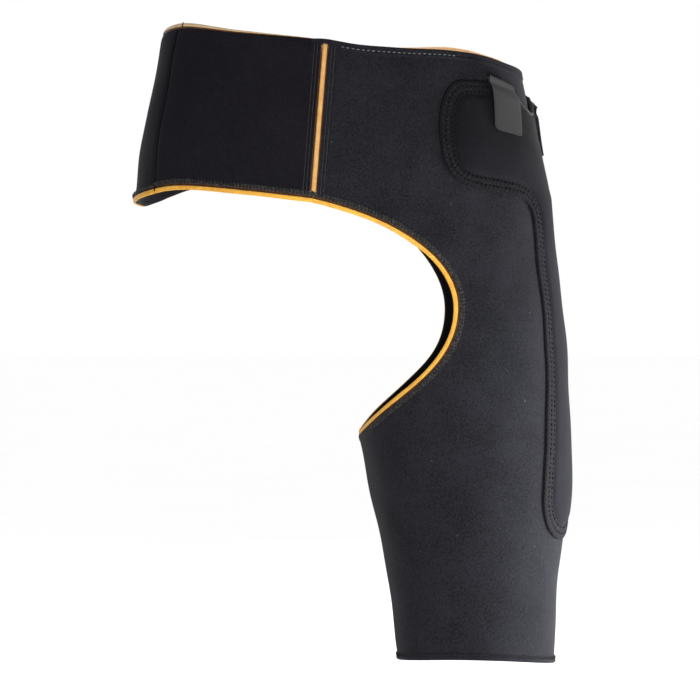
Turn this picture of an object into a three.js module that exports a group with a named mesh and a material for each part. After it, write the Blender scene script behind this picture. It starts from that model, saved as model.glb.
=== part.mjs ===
// Hip brace: a padded waist belt joined to a hip panel that runs down into a thigh sleeve.
// Millimetres, +X towards the wearer's left, -Y to the front, +Z up.
// The origin is the middle of the waist opening, half way up the belt.
import * as THREE from 'three';

// Girths of the worn form, measured outside the padding
const WAIST_WIDTH = 276;
const WAIST_DEPTH = 176;
const HIP_WIDTH = 342;
const HIP_DEPTH = 227;
const THIGH_WIDTH = 175.5;
const THIGH_DEPTH = 185;
const HEM_WIDTH = 130;
const HEM_DEPTH = 130;
const LEG_SPREAD = 109; // from the waist's middle line out to the middle of the sleeve's hem

// Heights
const BELT_HEIGHT = 124; // padded belt at the front, without its foam edges
const GROIN_DROP = 205; // from the belt's lower edge to the foot of the leg opening
const SLEEVE_LENGTH = 178.5; // from the foot of the leg opening to the hem
const HEM_TILT_SIDE = 2.8; // how much lower the hem lies at the outer side of the thigh
const HEM_TILT_BACK = 5; // and at the back
const HEM_SAG = 4.2; // how much lower it lies at both sides than in front and behind

// Padding and its bare foam edges
const PADDING = 5;
const FOAM_EDGE_HEIGHT = 4.6;
const FOAM_EDGE_INSET = 0.7; // step from the cloth faces to the foam
const FOAM_EDGE_ROUND = 1.3;
const GAP = 0.3; // joint between neighbouring pieces

// Seams
const STRIP_WIDTH = 4.6; // foam strip let into the front seam
const STRIP_INSET = 0.8;
const STRIP_END_GAP = 0.8; // how far the strip stops short of the belt's edges
const FRONT_SEAM_FOOT_X = -24.4;
const FRONT_SEAM_TOP_X = -14.8;
const SIDE_SEAM_TURN = 202.5; // degrees round the belt, on the wearer's right

// Leg opening, as seen from the front
const OPENING_REACH_X = 91.5; // how far its edge swings over to the wearer's left
const OPENING_REACH_LEVEL = -160;

// Tapes folded over the upper edge and the hem
const TAPE_THICKNESS = 0.9;
const TAPE_GAP = 0.5; // clearance between the folded tape and the padding
const TAPE_HEIGHT = 6;
const TAPE_END_TURN = 12;
const HEM_TAPE_HEIGHT = 4.5;

// Pocket sewn on the hip, with a long tail down the thigh
const POCKET_FORWARD = 31; // its middle line lies this far in front of the side line
const POCKET_THICKNESS = 3;
const POCKET_EDGE_THICKNESS = 1.8;
const POCKET_BEVEL = 3;
const POCKET_SEAT = 0.6; // clearance to the padding below
const POCKET_WIDTH = 225.5;
const POCKET_TOP_LEVEL = 20.5;
const POCKET_WIDEST_LEVEL = -38;
const POCKET_SHOULDER_LEVEL = -74;
const POCKET_SHOULDER_RISE = 9;
const POCKET_CORNER = 32; // how far both corners reach in from the side
const TAIL_WIDTH = 77;
const TAIL_NECK_WIDTH = 67;
const TAIL_NECK_LENGTH = 115; // over which the tail widens below the shoulder
const TAIL_FILLET = 16;
const TAIL_FOOT_LEVEL = -350;
const MOUTH_WIDTH = 116; // scoop in the pocket's upper edge
const MOUTH_DEPTH = 25;
const BINDING_HEIGHT = 3;

// Pull tabs at both ends of the pocket's mouth
const TAB_WIDTH = 23.4;
const TAB_LENGTH = 44;
const TAB_THICKNESS = 1.4;
const TAB_MIDDLE = 46.3; // from the pocket's middle line
const TAB_SLANT = 7.8; // how much lower the tab hangs on the side of the mouth
const TAB_TOP_LEVEL = 24.6;
const TAB_STITCHED_LEG = 9;
const TAB_STAND_OFF = 0.6; // radius of its fold
const TAB_SETTLE = 1.2; // how much closer to the pocket its free end lies
const TAB_LEAN_START = 10; // from this far below the fold it swings out from the mouth
const TAB_TWIST_LENGTH = 14; // its edge by the mouth turns out over this length below the fold
const FRONT_TAB_LEAN = 6;
const FRONT_TAB_TWIST = 3.5;
const REAR_TAB_LEAN = 1;
const REAR_TAB_DROP = 10; // the rear tab is sewn on lower down

const DEGREE = Math.PI / 180;

const between = (from, to, share) => from + share * (to - from);
const beltLevel = share => (share - 0.5) * BELT_HEIGHT;
const groinLevel = share => beltLevel(0) - share * GROIN_DROP;
const sleeveLevel = share => groinLevel(1) - share * SLEEVE_LENGTH;

// Level sections of the form, from the hem up. width and depth say how far the section has come
// from the lower to the upper girth, middle is a share of LEG_SPREAD, front a share of the depth,
// and square the exponent of the oval.
const hem = { width: HEM_WIDTH, depth: HEM_DEPTH };
const thigh = { width: THIGH_WIDTH, depth: THIGH_DEPTH };
const hip = { width: HIP_WIDTH, depth: HIP_DEPTH };
const waist = { width: WAIST_WIDTH, depth: WAIST_DEPTH };
const SECTIONS = [
  { level: sleeveLevel(1.0), lower: hem, upper: thigh, width: 0, depth: 0, middle: 0.995, front: 0.5, square: 2.1 },
  { level: sleeveLevel(0.66), lower: hem, upper: thigh, width: 0.24, depth: 0.25, middle: 0.972, front: 0.52, square: 2 },
  { level: sleeveLevel(0.29), lower: hem, upper: thigh, width: 0.7, depth: 0.63, middle: 0.943, front: 0.52, square: 2.05 },
  { level: groinLevel(0.93), lower: thigh, upper: hip, width: 0, depth: 0, middle: 0.873, front: 0.515, square: 2.1 },
  { level: groinLevel(0.61), lower: thigh, upper: hip, width: 0.11, depth: 0.79, middle: 0.75, front: 0.485, square: 2.2 },
  { level: groinLevel(0.27), lower: thigh, upper: hip, width: 0.67, depth: 1.14, middle: 0.254, front: 0.485, square: 2.3 },
  { level: groinLevel(0.05), lower: thigh, upper: hip, width: 1, depth: 1, middle: -0.037, front: 0.5, square: 2.35 },
  { level: beltLevel(0), lower: hip, upper: waist, width: 0.065, depth: 0.02, middle: -0.041, front: 0.5, square: 2.35 },
  { level: beltLevel(0.3), lower: hip, upper: waist, width: 0.25, depth: 0.26, middle: -0.055, front: 0.515, square: 2.45 },
  { level: beltLevel(0.74), lower: hip, upper: waist, width: 0.59, depth: 0.63, middle: -0.055, front: 0.52, square: 2.5 },
  { level: beltLevel(1.15), lower: hip, upper: waist, width: 1, depth: 1, middle: -0.092, front: 0.52, square: 2.5 },
].map(row => ({
  level: row.level,
  middle: row.middle * LEG_SPREAD,
  halfWidth: between(row.lower.width, row.upper.width, row.width) / 2,
  front: between(row.lower.depth, row.upper.depth, row.depth) * row.front,
  back: between(row.lower.depth, row.upper.depth, row.depth) * (1 - row.front),
  square: row.square,
}));

// Upper edge of the whole brace, by degrees round from the wearer's left over the back.
// rise is a share of BELT_HEIGHT above the belt's nominal lower edge.
const UPPER_RIM = [
  { turn: -19, rise: 0.785 },
  { turn: 0, rise: 0.77 },
  { turn: 22, rise: 0.89 },
  { turn: 32, rise: 0.95 },
  { turn: 43, rise: 0.982 },
  { turn: 90, rise: 0.985 },
  { turn: 145, rise: 1.02 },
  { turn: 180, rise: 1.01 },
  { turn: 205, rise: 1.03 },
  { turn: 230, rise: 0.97 },
  { turn: 263, rise: 0.92 },
  { turn: 281, rise: 0.877 },
  { turn: 298, rise: 0.86 },
  { turn: 324, rise: 0.84 },
  { turn: 341, rise: 0.785 },
  { turn: 360, rise: 0.77 },
  { turn: 382, rise: 0.89 },
];

// Lower edge of the belt, on the wearer's right only
const LOWER_RIM = [
  { turn: 90, rise: 0.08 },
  { turn: 130, rise: 0.095 },
  { turn: 146, rise: 0.085 },
  { turn: 156, rise: 0.02 },
  { turn: 166, rise: -0.055 },
  { turn: 176, rise: -0.07 },
  { turn: 185, rise: -0.055 },
  { turn: 195, rise: -0.03 },
  { turn: 209, rise: 0.005 },
  { turn: 222, rise: -0.01 },
  { turn: 240, rise: -0.05 },
  { turn: 270, rise: -0.115 },
];

// Smooth curve through one column of a table whose rows are sorted by another column. It runs on
// straight past the table's ends.
function smoothColumn(rows, place, column) {
  const last = rows.length - 1;
  const slopes = rows.map((row, index) => {
    const before = rows[Math.max(index - 1, 0)];
    const after = rows[Math.min(index + 1, last)];
    return (after[column] - before[column]) / (after[place] - before[place]);
  });
  return value => {
    const x = THREE.MathUtils.clamp(value, rows[0][place], rows[last][place]);
    const next = Math.max(1, rows.findIndex(row => row[place] >= x));
    const low = rows[next - 1];
    const high = rows[next];
    const span = high[place] - low[place];
    const t = (x - low[place]) / span;
    const lowPart = (1 + 2 * t) * (1 - t) ** 2 * low[column] + t * (1 - t) ** 2 * span * slopes[next - 1];
    const highPart = t * t * (3 - 2 * t) * high[column] + t * t * (t - 1) * span * slopes[next];
    const past = (value - x) * (value < x ? slopes[0] : slopes[last]);
    return lowPart + highPart + past;
  };
}

const sectionColumns = ['middle', 'halfWidth', 'front', 'back', 'square']
  .map(column => [column, smoothColumn(SECTIONS, 'level', column)]);
const sectionAt = level => Object.fromEntries(sectionColumns.map(([column, curve]) => [column, curve(level)]));

const upperRise = smoothColumn(UPPER_RIM, 'turn', 'rise');
const lowerRise = smoothColumn(LOWER_RIM, 'turn', 'rise');
const wrapDegrees = turn => THREE.MathUtils.euclideanModulo(turn / DEGREE, 360);
const upperRim = turn => beltLevel(upperRise(wrapDegrees(turn)));
const lowerRim = turn => beltLevel(lowerRise(wrapDegrees(turn)));

// Point of the form's outer face. turn runs round from the wearer's left over the back.
function bodyPoint(turn, level) {
  const { middle, halfWidth, front, back, square } = sectionAt(level);
  const depth = Math.sin(turn) < 0 ? front : back;
  const across = Math.abs(Math.cos(turn) / halfWidth) ** square;
  const along = Math.abs(Math.sin(turn) / depth) ** square;
  const radius = (across + along) ** (-1 / square);
  return new THREE.Vector3(middle + radius * Math.cos(turn), radius * Math.sin(turn), level);
}

// Direction out of the outer face
function bodyNormal(turn, level) {
  const turnStep = 0.001;
  const levelStep = 0.5;
  const round = bodyPoint(turn + turnStep, level).sub(bodyPoint(turn - turnStep, level));
  const rise = bodyPoint(turn, level + levelStep).sub(bodyPoint(turn, level - levelStep));
  return round.cross(rise).normalize();
}

const raisedPoint = (turn, level, height) =>
  bodyPoint(turn, level).addScaledVector(bodyNormal(turn, level), height);

// Turn of the place with a given x on the front (side -1) or back (side 1) of a section
function turnAtX(x, level, side) {
  const { middle, halfWidth, front, back, square } = sectionAt(level);
  const share = THREE.MathUtils.clamp((x - middle) / halfWidth, -1, 1);
  const y = (side < 0 ? front : back) * (1 - Math.abs(share) ** square) ** (1 / square);
  return side * Math.atan2(y, share * halfWidth);
}

// Turn of the place that lies a given way round from the side line, positive to the back
function turnAtReach(reach, level) {
  const step = Math.sign(reach) * DEGREE;
  const goal = Math.abs(reach);
  let turn = 0;
  let gone = 0;
  let here = bodyPoint(turn, level);
  while (gone < goal) {
    const next = bodyPoint(turn + step, level);
    const length = here.distanceTo(next);
    turn += step * Math.min(1, (goal - gone) / length);
    gone += length;
    here = next;
  }
  return turn;
}

function makeMesh(name, points, faces, material) {
  const geometry = new THREE.BufferGeometry();
  geometry.setAttribute('position', new THREE.Float32BufferAttribute(points.flatMap(p => p.toArray()), 3));
  geometry.setIndex(faces.flat());
  geometry.computeVertexNormals();
  const mesh = new THREE.Mesh(geometry, material);
  mesh.name = name;
  return mesh;
}

// Closed padding between two grids of points. Columns run round and rows run up.
function gridSolid(name, outer, inner, material) {
  const rows = outer.length;
  const columns = outer[0].length;
  const innerStart = rows * columns;
  const at = (row, column) => row * columns + column;
  const faces = [];
  for (let row = 0; row < rows - 1; row++) {
    for (let column = 0; column < columns - 1; column++) {
      const corners = [at(row, column), at(row, column + 1), at(row + 1, column + 1), at(row + 1, column)];
      const [a, b, c, d] = corners;
      faces.push([a, b, c], [a, c, d]);
      const [e, f, g, h] = corners.map(corner => corner + innerStart);
      faces.push([e, g, f], [e, h, g]);
    }
  }
  const border = [];
  for (let column = 0; column < columns - 1; column++) border.push(at(0, column));
  for (let row = 0; row < rows - 1; row++) border.push(at(row, columns - 1));
  for (let column = columns - 1; column > 0; column--) border.push(at(rows - 1, column));
  for (let row = rows - 1; row > 0; row--) border.push(at(row, 0));
  border.forEach((from, index) => {
    const to = border[(index + 1) % border.length];
    faces.push([to, from, from + innerStart], [to, from + innerStart, to + innerStart]);
  });
  return makeMesh(name, [...outer.flat(), ...inner.flat()], faces, material);
}

// Closed bar through a list of rings with the same number of points
function ringSolid(name, rings, closed, material) {
  const count = rings[0].length;
  const faces = [];
  const links = closed ? rings.length : rings.length - 1;
  for (let ring = 0; ring < links; ring++) {
    const here = ring * count;
    const there = ((ring + 1) % rings.length) * count;
    for (let k = 0; k < count; k++) {
      const next = (k + 1) % count;
      faces.push([here + k, here + next, there + next], [here + k, there + next, there + k]);
    }
  }
  const points = rings.flat();
  if (!closed) {
    const outline = rings[0].map((point, k) => k);
    const flat = capPlane(rings[0]);
    const lastStart = (rings.length - 1) * count;
    for (const [a, b, c] of THREE.ShapeUtils.triangulateShape(flat, [])) {
      faces.push([outline[a], outline[c], outline[b]]);
      faces.push([lastStart + a, lastStart + b, lastStart + c]);
    }
  }
  return makeMesh(name, points, faces, material);
}

// Ring flattened to two coordinates, counterclockwise
function capPlane(ring) {
  const first = ring[0];
  const sideways = ring[1].clone().sub(first).normalize();
  const normal = new THREE.Vector3();
  ring.forEach((point, k) => {
    const next = ring[(k + 1) % ring.length];
    normal.add(point.clone().sub(first).cross(next.clone().sub(first)));
  });
  const upwards = normal.normalize().clone().cross(sideways);
  return ring.map(point => {
    const from = point.clone().sub(first);
    return new THREE.Vector2(from.dot(sideways), from.dot(upwards));
  });
}

// Bar along an edge of the padding. The path runs so that the padding is on its left, seen from
// outside. The section's columns are [away from the padding, outwards]. A bar that goes on in
// another one names that one's nearest place as before or after, so that the two share a mitre.
function edgeBar(name, path, section, material, { before, after, closed = false } = {}) {
  const first = closed ? path.at(-1) : before ?? path[0];
  const last = closed ? path[0] : after ?? path.at(-1);
  const points = [first, ...path, last].map(({ turn, level }) => bodyPoint(turn, level));
  const rings = path.map(({ turn, level, height = 1 }, index) => {
    const out = bodyNormal(turn, level);
    const along = points[index + 2].clone().sub(points[index]);
    const away = out.clone().cross(along).normalize();
    return section.map(([side, up]) => points[index + 1].clone()
      .addScaledVector(away, GAP + (side - GAP) * height)
      .addScaledVector(out, up));
  });
  return ringSolid(name, rings, closed, material);
}

const foamSection = [
  [GAP, -FOAM_EDGE_INSET],
  [GAP, -PADDING + FOAM_EDGE_INSET],
  [GAP + FOAM_EDGE_HEIGHT - FOAM_EDGE_ROUND, -PADDING + FOAM_EDGE_INSET],
  [GAP + FOAM_EDGE_HEIGHT, -PADDING + FOAM_EDGE_INSET + FOAM_EDGE_ROUND],
  [GAP + FOAM_EDGE_HEIGHT, -FOAM_EDGE_INSET - FOAM_EDGE_ROUND],
  [GAP + FOAM_EDGE_HEIGHT - FOAM_EDGE_ROUND, -FOAM_EDGE_INSET],
];

// Tape folded over an edge of the padding
const tapeSection = legHeight => [
  [-legHeight, TAPE_GAP],
  [-legHeight, TAPE_GAP + TAPE_THICKNESS],
  [TAPE_GAP + TAPE_THICKNESS, TAPE_GAP + TAPE_THICKNESS],
  [TAPE_GAP + TAPE_THICKNESS, -PADDING - TAPE_GAP - TAPE_THICKNESS],
  [-legHeight, -PADDING - TAPE_GAP - TAPE_THICKNESS],
  [-legHeight, -PADDING - TAPE_GAP],
  [TAPE_GAP, -PADDING - TAPE_GAP],
  [TAPE_GAP, TAPE_GAP],
].reverse();

const materialOf = (color, roughness) => new THREE.MeshStandardMaterial({ color, roughness, metalness: 0 });
const laminate = materialOf(0x1c1b1f, 0.85);
const jersey = materialOf(0x2a2a2f, 0.92);
const foam = materialOf(0xf0a850, 0.8);
const tape = materialOf(0x1a1a1c, 0.7);
const webbing = materialOf(0x454545, 0.55);

// Even shares from 0 to 1
const shares = steps => Array.from({ length: steps + 1 }, (unused, index) => index / steps);

// Front and back seams between the belt and the hip panel, as an x at each level
const seamX = level => between(FRONT_SEAM_FOOT_X, FRONT_SEAM_TOP_X, (level - beltLevel(0)) / BELT_HEIGHT);

// Place on a seam, shifted sideways, at a share of the way from the belt's lower to its upper edge
function seamPlace(share, shift, side) {
  const footTurn = turnAtX(seamX(beltLevel(0)) + shift, beltLevel(0), side);
  const topTurn = turnAtX(seamX(beltLevel(1)) + shift, beltLevel(1), side);
  const level = between(lowerRim(footTurn), upperRim(topTurn), share);
  return { turn: turnAtX(seamX(level) + shift, level, side), level };
}

// Edge of the leg opening on one side, from the inner thigh up to the seam
function openingEdge(side, shift) {
  const lowerSteps = 11;
  const upperSteps = 9;
  const foot = groinLevel(1);
  const { middle, halfWidth } = sectionAt(foot);
  const start = seamPlace(0, shift, side);
  const inner = new THREE.Vector2(middle - halfWidth, foot);
  const far = new THREE.Vector2(OPENING_REACH_X, OPENING_REACH_LEVEL);
  const seam = new THREE.Vector2(seamX(start.level) + shift, start.level);
  const corner = (from, to, x, y) => new THREE.Vector2(between(from.x, to.x, x), between(from.y, to.y, y));
  const lower = new THREE.CubicBezierCurve(inner, corner(inner, far, 0.355, 0.342), corner(inner, far, 1, 0.503), far);
  const upper = new THREE.CubicBezierCurve(far, corner(far, seam, 0, 0.435), corner(far, seam, 0.41, 0.82), seam);
  const points = [
    ...shares(lowerSteps).map(share => lower.getPoint(share ** 2)),
    ...shares(upperSteps).slice(1).map(share => upper.getPoint(share)),
  ];
  return points.map(({ x, y }) => ({ turn: turnAtX(x, y, side), level: y }));
}

function hemLevel(turn) {
  const tilt = HEM_TILT_SIDE * (0.5 + 0.5 * Math.cos(turn)) + HEM_TILT_BACK * Math.sin(turn) / 2;
  return sleeveLevel(1) - tilt - HEM_SAG * Math.cos(turn) ** 2;
}

// Places of the hip panel and thigh sleeve, from the hem up and from the front edge to the back one.
// A butt seam down the inner thigh closes the sleeve.
function hipPlaces() {
  const columns = 34;
  const sleeveRows = 8;
  const beltRows = 6;
  const seamTurn = GAP / THIGH_WIDTH;
  const frontShift = STRIP_WIDTH / 2 + GAP;
  const backShift = GAP / 2;
  const frontEdge = openingEdge(-1, frontShift);
  const backEdge = openingEdge(1, backShift);
  frontEdge[0].turn = -Math.PI + seamTurn;
  backEdge[0].turn = Math.PI - seamTurn;
  const rows = [];
  for (const share of shares(sleeveRows).slice(0, -1)) {
    rows.push(shares(columns).map(across => {
      const turn = between(frontEdge[0].turn, backEdge[0].turn, across);
      return { turn, level: between(hemLevel(turn), groinLevel(1), share) };
    }));
  }
  frontEdge.forEach((front, index) => {
    const back = backEdge[index];
    const sideLevel = between(groinLevel(1), lowerRim(SIDE_SEAM_TURN * DEGREE), index / (frontEdge.length - 1));
    const rise = sideLevel - (front.level + back.level) / 2;
    rows.push(shares(columns).map(across => ({
      turn: between(front.turn, back.turn, across),
      level: between(front.level, back.level, across) + rise * Math.sin(Math.PI * across),
    })));
  });
  const foot = rows.at(-1);
  for (const share of shares(beltRows).slice(1)) {
    const front = seamPlace(share, frontShift, -1);
    const back = seamPlace(share, backShift, 1);
    rows.push(foot.map((place, column) => {
      const turn = between(front.turn, back.turn, column / columns);
      return { turn, level: between(place.level, upperRim(turn), share) };
    }));
  }
  return rows;
}

// Padding over a grid of places
function paddedGrid(name, rows, material) {
  const raise = height => rows.map(row => row.map(({ turn, level }) => raisedPoint(turn, level, height)));
  return gridSolid(name, raise(0), raise(-PADDING), material);
}

// Stretch of the belt between two edges, each given as the turn at a share of its height
function beltPanel(name, startTurn, endTurn, columns, rows, material) {
  const grid = shares(rows).map(share => shares(columns).map(across => {
    const turn = between(startTurn(share), endTurn(share), across);
    return { turn, level: between(lowerRim(turn), upperRim(turn), share) };
  }));
  return paddedGrid(name, grid, material);
}

const sideSeamTurn = SIDE_SEAM_TURN * DEGREE;
const sideSeamGap = GAP / HIP_WIDTH;
const frontStripLeft = share => seamPlace(share, -STRIP_WIDTH / 2 - GAP, -1).turn + 2 * Math.PI;
const backSeam = share => seamPlace(share, -GAP / 2, 1).turn;
const BELT_FRONT_COLUMNS = 10;
const BELT_BACK_COLUMNS = 20;

const beltFrontPanel = () => beltPanel(
  'belt_front_panel', () => sideSeamTurn + sideSeamGap, frontStripLeft, BELT_FRONT_COLUMNS, 7, laminate);
const beltBackPanel = () => beltPanel(
  'belt_back_panel', backSeam, () => sideSeamTurn - sideSeamGap, BELT_BACK_COLUMNS, 7, laminate);

// Foam strip let into the front seam
function frontSeamStrip() {
  const end = STRIP_END_GAP / BELT_HEIGHT;
  const rows = shares(7).map(share => [-1, 1].map(side =>
    seamPlace(between(end, 1 - end, share), side * STRIP_WIDTH / 2, -1)));
  const raise = height => rows.map(row => row.map(({ turn, level }) => raisedPoint(turn, level, height)));
  return gridSolid('front_seam_strip', raise(-STRIP_INSET), raise(-PADDING), foam);
}

// Places along the belt's upper or lower edge
const rimPath = (rim, from, to, steps) => shares(steps).map(share => {
  const turn = between(from, to, share);
  return { turn, level: rim(turn) };
});

// Path with its first place moved a little way in, which leaves a joint to the next piece
function jointAtStart(path) {
  const [first, second] = path;
  const share = GAP / bodyPoint(first.turn, first.level).distanceTo(bodyPoint(second.turn, second.level));
  const moved = {
    ...first,
    turn: between(first.turn, second.turn, share),
    level: between(first.level, second.level, share),
  };
  return [moved, ...path.slice(1)];
}

// The hip panel's upper edge carries the tape in front and a bare foam edge behind
const hipRows = hipPlaces();
const hipTop = hipRows.at(-1);
const tapeEnd = hipTop.findIndex(({ turn }) => turn > TAPE_END_TURN * DEGREE);

function foamEdges() {
  const frontFoot = seamPlace(0, 0, -1).turn + 2 * Math.PI;
  const sideEnd = sideSeamTurn - sideSeamGap;
  const sideStart = sideSeamTurn + sideSeamGap;
  const taper = path => path.map((place, index) => ({ ...place, height: between(1, 0.2, index / (path.length - 1)) }));
  const opening = [...openingEdge(1, GAP / 2).reverse(), ...openingEdge(-1, 0).slice(1)];
  const frontLower = jointAtStart(rimPath(lowerRim, frontFoot, sideStart, BELT_FRONT_COLUMNS));
  const backLower = rimPath(lowerRim, sideEnd, backSeam(0), BELT_BACK_COLUMNS);
  const frontUpper = taper(rimPath(upperRim, sideStart, frontStripLeft(1), BELT_FRONT_COLUMNS));
  const backUpper = rimPath(upperRim, backSeam(1), sideEnd, BELT_BACK_COLUMNS);
  const hipUpper = jointAtStart(hipTop.slice(tapeEnd));
  const bar = (name, path, before, after) => edgeBar(name, path, foamSection, foam, { before, after });
  return [
    bar('belt_front_lower_edge', frontLower, opening.at(-2), backLower[1]),
    bar('belt_back_lower_edge', backLower, frontLower.at(-2), opening[1]),
    bar('belt_front_upper_edge', frontUpper, backUpper.at(-2)),
    bar('belt_back_upper_edge', backUpper, hipUpper.at(-2), frontUpper[1]),
    bar('hip_upper_edge', hipUpper, hipTop[tapeEnd - 1], backUpper[1]),
    bar('leg_opening_edge', opening, backLower.at(-2), frontLower[1]),
  ];
}

function topHemTape() {
  const start = seamPlace(1, 0, -1);
  return edgeBar('top_hem_tape', [start, ...hipTop.slice(0, tapeEnd + 1)], tapeSection(TAPE_HEIGHT), tape);
}

function sleeveHem() {
  const path = [{ ...hipRows[0][0], turn: -Math.PI }, ...hipRows[0].slice(1, -1)].reverse();
  return edgeBar('sleeve_hem', path, tapeSection(HEM_TAPE_HEIGHT), tape, { closed: true });
}

// Half outline of the pocket as [reach from its middle line, level], from the tail's foot up
function pocketOutline() {
  const tailRadius = TAIL_WIDTH / 2;
  const neck = TAIL_NECK_WIDTH / 2;
  const half = POCKET_WIDTH / 2;
  const shoulder = POCKET_SHOULDER_LEVEL;
  const outerShoulder = shoulder + POCKET_SHOULDER_RISE;
  const path = new THREE.Path();
  path.moveTo(tailRadius * Math.sin(10 * DEGREE), TAIL_FOOT_LEVEL + tailRadius * (1 - Math.cos(10 * DEGREE)));
  path.absarc(0, TAIL_FOOT_LEVEL + tailRadius, tailRadius, -80 * DEGREE, 0);
  path.lineTo(tailRadius, shoulder - TAIL_NECK_LENGTH);
  path.lineTo(neck, shoulder - TAIL_FILLET);
  path.quadraticCurveTo(neck, shoulder, neck + TAIL_FILLET, shoulder + POCKET_SHOULDER_RISE / 5);
  path.lineTo(half - POCKET_CORNER, outerShoulder - POCKET_SHOULDER_RISE / 3);
  path.quadraticCurveTo(half, outerShoulder, half, POCKET_WIDEST_LEVEL);
  path.bezierCurveTo(
    half, between(POCKET_WIDEST_LEVEL, POCKET_TOP_LEVEL, 0.5),
    half - POCKET_CORNER / 2, POCKET_TOP_LEVEL - 0.5,
    half - POCKET_CORNER, POCKET_TOP_LEVEL);
  const points = path.curves.flatMap(curve => {
    const isLine = curve instanceof THREE.LineCurve;
    const steps = isLine ? Math.max(1, Math.round(curve.getLength() / 18)) : 5;
    return curve.getSpacedPoints(steps).slice(1);
  });
  return [path.curves[0].getPoint(0), ...points];
}

// How far the mouth's scoop lowers the pocket's upper edge
function mouthDrop(reach) {
  const share = Math.min(1, Math.abs(reach) / (MOUTH_WIDTH / 2));
  return MOUTH_DEPTH * (0.5 + 0.5 * Math.cos(Math.PI * share));
}

const pocketPoint = (reach, level, height) =>
  raisedPoint(turnAtReach(reach - POCKET_FORWARD, level), level, height);

// Columns of the pocket across one row, with a bevel along both borders
function pocketReaches(half) {
  const columns = 18;
  const bevel = Math.min(POCKET_BEVEL, half / 3);
  return [-half, ...shares(columns - 2).map(share => between(bevel - half, half - bevel, share)), half];
}

function hipPocket() {
  const scoopStart = POCKET_TOP_LEVEL - 2.2 * MOUTH_DEPTH;
  const rows = pocketOutline().map(({ x: half, y: level }) => {
    const scoop = Math.max(0, (level - scoopStart) / (POCKET_TOP_LEVEL - scoopStart));
    return pocketReaches(half).map(reach => ({ reach, level: level - scoop * mouthDrop(reach) }));
  });
  const raise = heightAt => rows.map((row, index) =>
    row.map(({ reach, level }, column) => pocketPoint(reach, level, heightAt(index, column))));
  const outer = raise((row, column) => {
    const onEdge = row === 0 || row === rows.length - 1 || column === 0 || column === rows[0].length - 1;
    return POCKET_SEAT + (onEdge ? POCKET_EDGE_THICKNESS : POCKET_THICKNESS);
  });
  const inner = raise(() => POCKET_SEAT);
  return gridSolid('hip_pocket', outer, inner, laminate);
}

// Rounded binding along the pocket's mouth, between the two tabs
function pocketMouthBinding() {
  const low = POCKET_SEAT;
  const high = POCKET_SEAT + POCKET_THICKNESS + 0.5;
  const section = [[0, low], [0, high - 1], [0.8, high], [BINDING_HEIGHT - 0.8, high],
    [BINDING_HEIGHT, high - 1], [BINDING_HEIGHT, low]].reverse();
  const reaches = pocketReaches(pocketOutline().at(-1).x)
    .filter(reach => Math.abs(reach) < TAB_MIDDLE - TAB_WIDTH / 2 - GAP);
  const rings = reaches.map(reach => {
    const level = POCKET_TOP_LEVEL - mouthDrop(reach) + GAP;
    return section.map(([rise, height]) => pocketPoint(reach, level + rise, height));
  });
  return ringSolid('pocket_mouth_binding', rings, false, tape);
}

// Pull tab: a strap sewn on the pocket, folded over at the top and hanging free
function pullTab(name, side, { lean, twist = 0, lowered = 0 }) {
  const seat = POCKET_SEAT + POCKET_THICKNESS + GAP;
  const near = seat + TAB_THICKNESS;
  const far = near + 2 * TAB_STAND_OFF;
  const fold = shares(6).map(share => ({ angle: Math.PI * share }));
  const foldLine = radius => fold.map(({ angle }) => ({
    drop: TAB_STAND_OFF + TAB_THICKNESS - radius * Math.sin(angle),
    height: near + TAB_STAND_OFF - radius * Math.cos(angle),
  }));
  const outside = [
    { drop: TAB_STITCHED_LEG, height: seat },
    ...foldLine(TAB_STAND_OFF + TAB_THICKNESS),
    ...shares(3).slice(1).map(share => ({
      drop: between(TAB_STAND_OFF, TAB_LENGTH, share),
      height: far + TAB_THICKNESS - TAB_SETTLE * share,
      hanging: true,
    })),
  ];
  const inside = [
    { drop: TAB_STITCHED_LEG, height: near },
    ...foldLine(TAB_STAND_OFF),
    ...shares(3).slice(1).map(share => ({
      drop: between(TAB_STAND_OFF, TAB_LENGTH, share),
      height: far - TAB_SETTLE * share,
      hanging: true,
    })),
  ];
  const across = side < 0 ? shares(3) : shares(3).reverse();
  const place = ({ drop, height, hanging = false }) => across.map(share => {
    const swung = hanging ? Math.max(0, (drop - TAB_LEAN_START) / (TAB_LENGTH - TAB_LEAN_START)) : 0;
    const turned = hanging ? Math.min(1, drop / TAB_TWIST_LENGTH) : 0;
    const middle = TAB_MIDDLE + lean * swung;
    const reach = side * between(middle + TAB_WIDTH / 2, middle - TAB_WIDTH / 2, share);
    const level = TAB_TOP_LEVEL - lowered - TAB_SLANT * share - drop;
    return pocketPoint(reach, level, height + twist * turned * share);
  });
  const outer = outside.map(place).reverse();
  const inner = inside.map(place).reverse();
  return gridSolid(name, outer, inner, webbing);
}

const brace = new THREE.Group();
brace.add(
  paddedGrid('hip_thigh_panel', hipRows, jersey),
  beltFrontPanel(),
  beltBackPanel(),
  frontSeamStrip(),
  ...foamEdges(),
  topHemTape(),
  sleeveHem(),
  hipPocket(),
  pocketMouthBinding(),
  pullTab('front_tab', -1, { lean: FRONT_TAB_LEAN, twist: FRONT_TAB_TWIST }),
  pullTab('rear_tab', 1, { lean: REAR_TAB_LEAN, lowered: REAR_TAB_DROP }),
);

export default brace;
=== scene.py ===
"""Looks of the hip brace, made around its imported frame.

The brace is a padded waist belt joined to a hip panel that runs down into a thigh sleeve. The form that
it keeps when worn is worked out here from the same sizes as its solids. Lengths are in millimetres, and
each mesh is brought to metres as it is made.
"""

import logging
import math
from dataclasses import dataclass
from enum import IntEnum
from functools import cached_property
from typing import Any, Callable, Sequence

import bpy
import numpy as np
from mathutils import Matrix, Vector, geometry
from mathutils.kdtree import KDTree

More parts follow.
